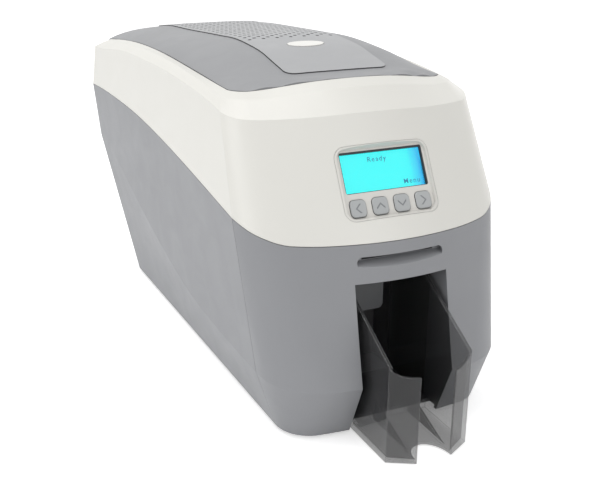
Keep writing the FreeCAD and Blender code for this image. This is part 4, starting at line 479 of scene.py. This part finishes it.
FRAME_GREY = (0.05, 0.052, 0.055)
UNLIT = (0.0, 0.0, 0.0)
SCREEN_CYAN, SCREEN_BLUE = (0.06, 1.0, 1.0), (0.05, 0.42, 0.95)
BLUE_START = 0.80
BACKLIGHT = 0.87
PANEL_LEVEL = 0.18
screen_centre, screen_normal = facing("lcd_module")


def screen_material():
    """Backlit panel: bright cyan that deepens to blue at its right edge."""
    material, tree, shader = plain_material("backlit_screen", 0.3)
    low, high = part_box("lcd_module")
    split = add_node(tree, "SeparateXYZ", {"Vector": own_place(tree)}).outputs
    along = remap(tree, split["X"], low.x, high.x)
    glow = ramp(tree, along, ((BLUE_START, SCREEN_CYAN), (1.0, SCREEN_BLUE)))
    lit = outward_mask(tree, screen_normal)
    connect(tree, shader, {
        "Base Color": blend(tree, lit, FRAME_GREY, toned(tree, glow, PANEL_LEVEL)),
        "Emission Color": blend(tree, lit, UNLIT, glow), "Emission Strength": BACKLIGHT})
    return material


def window_material():
    """Clear acrylic with faint smears in its gloss."""
    material, tree, shader = plain_material("display_glass", 0.04, Transmission_Weight=1.0,
                                            IOR=1.3)
    connect(tree, shader, {
        "Base Color": (0.97, 1.0, 1.0),
        "Roughness": remap(tree, noise(tree, 60.0, detail=4.0), 0.4, 0.7, 0.02, 0.06)})
    return material


dress(screen_material(), "lcd_module")
dress(window_material(), "display_window")

WINDOW_WIDE, WINDOW_HIGH = 63.9 * MM, 28.4 * MM
# Painted shade: black bars line the window's walls, widest at the top and right, where the
# walls' shadow falls on the recessed panel.
SHADE_BAR_TOP, SHADE_BAR_RIGHT, SHADE_BAR_SLIM = 1.3 * MM, 0.9 * MM, 0.35 * MM
SHADE_BAR_DEEP = 2.15 * MM
HAIR = 0.02 * MM
window_shade_black = moulded("window_shade_black", (0.03, 0.028, 0.034), 0.6, density=900.0)
glass_centre, glass_normal = facing("display_window")
half_wide, half_high = WINDOW_WIDE / 2 - HAIR, WINDOW_HIGH / 2 - HAIR
inner_top, inner_bottom = half_high - SHADE_BAR_TOP, SHADE_BAR_SLIM - half_high
bars = [[(-half_wide, top), (-half_wide, bottom), (half_wide, bottom), (half_wide, top)]
        for top, bottom in ((half_high, inner_top), (inner_bottom, -half_high))]
bars += [[(left, inner_bottom), (right, inner_bottom), (right, inner_top), (left, inner_top)]
         for left, right in ((-half_wide, SHADE_BAR_SLIM - half_wide),
                             (half_wide - SHADE_BAR_RIGHT, half_wide))]
shade_bar_place = upright(glass_centre + glass_normal * HAIR, glass_normal)
add_piece("window_shade_bars", plate_mesh("window_shade_bars", bars, SHADE_BAR_DEEP, shade_bar_place),
          "casing", window_shade_black)

LETTER_SIZE, LETTER_THICK = 5.0 * MM, 0.1 * MM
LETTER_WEIGHT = 0.004 * LETTER_SIZE
LETTER_SPACING = 1.25
INK_DEEP, INK_PALE = (0.01, 0.10, 0.20), (0.02, 0.20, 0.34)
INK_GLOW = 0.6


def ink_material():
    """Dark segments that the backlight behind them still lifts a little."""
    material, tree, shader = plain_material("screen_segments", 0.4)
    tone = ramp(tree, noise(tree, 900.0), ((0.0, INK_DEEP), (1.0, INK_PALE)))
    connect(tree, shader, {"Base Color": tone, "Emission Color": tone,
                           "Emission Strength": INK_GLOW})
    return material


ink = ink_material()


def screen_word(name, word, across, up):
    """A word in thin dark segments on the panel."""
    curve = bpy.data.curves.new(name, "FONT")
    curve.body = word
    curve.size = LETTER_SIZE
    curve.extrude = LETTER_THICK / 2
    curve.offset = LETTER_WEIGHT
    curve.space_character = LETTER_SPACING
    curve.align_x = "CENTER"
    curve.align_y = "CENTER"
    holder = bpy.data.objects.new(name + "_curve", curve)
    bpy.context.scene.collection.objects.link(holder)
    mesh = bpy.data.meshes.new_from_object(
        holder.evaluated_get(bpy.context.evaluated_depsgraph_get()))
    bpy.data.objects.remove(holder)
    face = upright(screen_centre + screen_normal * LETTER_THICK, screen_normal)
    mesh.transform(face @ Matrix.Translation((across, up, 0.0)))
    mesh.name = name
    add_piece(name, mesh, "casing", ink)


READY_PLACE, MENU_PLACE = (-2.5 * MM, 8.2 * MM), (21.5 * MM, -9.6 * MM)
screen_word("word_ready", "Ready", *READY_PLACE)
screen_word("word_menu", "Menu", *MENU_PLACE)

# The four keys are grey caps with painted shade on their sides, which stand in
# close holes under the window. Each carries a fine chevron that shows its direction.
CAP_ROUGHNESS = 0.42
CAP_GRAIN = 0.2


def capped(name, colour, side, outward, edge):
    """Moulding whose outward face has its colour and whose steep sides are painted with a shade
    colour.
    """
    material, tree, shader = plain_material(name, CAP_ROUGHNESS)
    surface = add_node(tree, "Group", {
        "Colour": colour, "Roughness": CAP_ROUGHNESS, "Grain depth": CAP_GRAIN,
        "Normal": softened(tree, edge * MM)}, node_tree=moulding).outputs
    connect(tree, shader, {
        # Painted shade: faces that don't look outward take the dark side colour in place of
        # shade.
        "Base Color": blend(tree, outward_mask(tree, outward), side, surface["Colour"]),
        "Roughness": surface["Roughness"], "Normal": surface["Normal"]})
    return material


KEY_GREY, KEY_SIDE_SHADE = (0.44, 0.455, 0.46), (0.02, 0.02, 0.022)
key_finish = capped("key_grey_moulding", KEY_GREY, KEY_SIDE_SHADE, facing("key_left")[1], 0.5)
chevron_print = moulded("chevron_print", (0.24, 0.25, 0.26), 0.5, density=900.0)
CHEVRON_HALF, CHEVRON_RISE, CHEVRON_LINE = 3.2 * MM, 3.2 * MM, 1.35 * MM
PRINT_THICK = 0.03 * MM
half, rise, line = CHEVRON_HALF, CHEVRON_RISE / 2, CHEVRON_LINE / 2
chevron = [(-half, -rise - line), (0.0, rise - line), (half, -rise - line),
           (half, line - rise), (0.0, rise + line), (-half, line - rise)]
for key, quarter in (("key_left", 1), ("key_up", 0), ("key_down", 2), ("key_right", 3)):
    dress(key_finish, key)
    centre, normal = facing(key)
    turn = Matrix.Rotation(quarter * math.pi / 2, 4, "Z")
    place = upright(centre + normal * HAIR, normal) @ turn
    add_piece(key + "_chevron", plate_mesh(key + "_chevron", [chevron], PRINT_THICK, place),
              key, chevron_print)

# The lid: a crowned grey moulding that swings on pins at the rear. A paler
# perforated strip is let into its top, whose hole walls and edges carry painted shade.
UPWARD = (0.0, 0.0, 1.0)
STRIP_GREY, HOLE_SHADE = (0.40, 0.405, 0.415), (0.05, 0.05, 0.052)
dress(moulded("lid_grey_moulding", (0.31, 0.314, 0.325), 0.5), "top_lid", "latch_ears")
dress(capped("strip_grey_moulding", STRIP_GREY, HOLE_SHADE, UPWARD, 0.2), "lid_vent_strip")

# The card hopper is moulded in smoked clear polycarbonate, 2.2 mm thick. It
# hooks into the bay and draws out with the finished cards.
SMOKE, SMOKE_EDGE_HIGHLIGHT = (0.045, 0.045, 0.047), (0.24, 0.24, 0.245)
CLEAR_DENSITY, EDGE_DENSITY = 0.43, 0.72
EDGE_REACH = 0.9 * MM


def smoked_material():
    """Smoked clear plastic, denser along its moulded edges, which a painted highlight pales."""
    material, tree, shader = plain_material("smoked_polycarbonate", 0.12, IOR=1.58)
    rounded = softened(tree, EDGE_REACH, samples=6)
    flat = add_node(tree, "NewGeometry").outputs["Normal"]
    edge = remap(tree, vectors(tree, "DOT_PRODUCT", flat, rounded, "Value"), 0.98, 0.8)
    connect(tree, shader, {
        # Painted highlight: the paler edge colour stands in for light caught along the moulded
        # edges.
        "Base Color": blend(tree, edge, SMOKE, SMOKE_EDGE_HIGHLIGHT),
        "Roughness": remap(tree, noise(tree, 30.0, detail=3.0), 0.35, 0.7, 0.08, 0.16),
        "Alpha": remap(tree, edge, 0.0, 1.0, CLEAR_DENSITY, EDGE_DENSITY),
        "Normal": rounded})
    return material


dress(smoked_material(), "card_hopper")

# The studio: a pale floor that keeps a soft shadow, a white surround for the
# camera and for reflections, and four soft lamps at a plain level.
WHITE = (1.0, 1.0, 1.0)
AMBIENT = 0.5
FLOOR_HALF = 6 * METRE
FLOOR_PAPER = (0.9, 0.9, 0.9)
FLOOR_GLOW = 0.55


def seen_white(tree, lit, white):
    """The lit shader, or the white one for what the camera, gloss and glass look at."""
    path = add_node(tree, "LightPath").outputs
    seen = maths(tree, "MAXIMUM", path["Is Camera Ray"], path["Is Glossy Ray"])
    seen = maths(tree, "MAXIMUM", seen, path["Is Transmission Ray"])
    return add_node(tree, "MixShader", {0: seen, 1: lit, 2: white}).outputs[0]


world = bpy.data.worlds.new("studio")
bpy.context.scene.world = world
world.use_nodes = True
air = world.node_tree
air.nodes.clear()
ambient = add_node(air, "Background", {"Color": WHITE, "Strength": AMBIENT})
backdrop = add_node(air, "Background", {"Color": WHITE, "Strength": 1.0})
add_node(air, "OutputWorld",
         {"Surface": seen_white(air, ambient.outputs[0], backdrop.outputs[0])})


def studio_floor():
    """A flat sheet of pale paper, lifted towards white for what looks at it."""
    mesh = bpy.data.meshes.new("studio_floor")
    near, far = -FLOOR_HALF, FLOOR_HALF
    mesh.from_pydata([(near, near, 0), (far, near, 0), (far, far, 0), (near, far, 0)], [],
                     [(0, 1, 2, 3)])
    paper, tree, shader = plain_material("floor_paper", 0.9)
    connect(tree, shader, {"Base Color": FLOOR_PAPER})
    glow = add_node(tree, "Emission", {"Color": WHITE, "Strength": FLOOR_GLOW})
    lifted = add_node(tree, "AddShader", {0: shader.outputs[0], 1: glow.outputs[0]})
    connect(tree, tree.nodes["Material Output"],
            {"Surface": seen_white(tree, shader.outputs[0], lifted.outputs[0])})
    mesh.materials.append(paper)
    return bpy.data.objects.new("studio_floor", mesh)


floor = studio_floor()
bpy.context.scene.collection.objects.link(floor)

LAMP_AIM = Vector((0.0, 0.0, 0.12))


def soft_lamp(name, place, size, power):
    """A round lamp of some watts that looks at the middle of the printer."""
    lamp = bpy.data.lights.new(name, "AREA")
    lamp.shape = "DISK"
    lamp.size = size
    lamp.energy = power
    holder = bpy.data.objects.new(name, lamp)
    bpy.context.scene.collection.objects.link(holder)
    holder.location = place
    holder.rotation_euler = (LAMP_AIM - Vector(place)).to_track_quat("-Z", "Y").to_euler()


for name, place, size, power in (("overhead", (-0.3, 0.2, 1.9), 1.6, 15),
                                 ("left_wall", (-1.9, -0.1, 0.9), 1.4, 10),
                                 ("front_fill", (0.5, -2.0, 0.9), 1.2, 7),
                                 ("rear_fill", (1.9, 0.9, 0.5), 1.4, 4)):
    soft_lamp(name, place, size, power)

# The camera stands where the photographer did, left of the printer's front
# and a little above it.
CAMERA_PLACE = Vector((-0.3305, -0.71735, 0.3674))
YAW, PITCH, ROLL = math.radians(25.5), math.radians(-20.2), math.radians(0.7)
SENSOR_WIDTH = 36
FOCAL_PIXELS, PICTURE_PIXELS = 997.8, 600
SHIFT_ACROSS, SHIFT_UP = -0.0025, 0.0042
ahead = Vector((math.sin(YAW) * math.cos(PITCH), math.cos(YAW) * math.cos(PITCH),
                math.sin(PITCH)))
level = Vector((math.cos(YAW), -math.sin(YAW), 0.0))
upward = level.cross(ahead)
right = level * math.cos(ROLL) + upward * math.sin(ROLL)
top = upward * math.cos(ROLL) - level * math.sin(ROLL)
lens = bpy.data.cameras.new("photo_camera")
lens.sensor_width = SENSOR_WIDTH
lens.lens = SENSOR_WIDTH * FOCAL_PIXELS / PICTURE_PIXELS
lens.shift_x, lens.shift_y = SHIFT_ACROSS, SHIFT_UP
lens.clip_start = 10 * MM
camera = bpy.data.objects.new("photo_camera", lens)
bpy.context.scene.collection.objects.link(camera)
camera.matrix_world = Matrix((
    (right.x, top.x, -ahead.x, CAMERA_PLACE.x), (right.y, top.y, -ahead.y, CAMERA_PLACE.y),
    (right.z, top.z, -ahead.z, CAMERA_PLACE.z), (0.0, 0.0, 0.0, 1.0)))
bpy.context.scene.camera = camera
bpy.context.scene.view_settings.view_transform = "Standard"
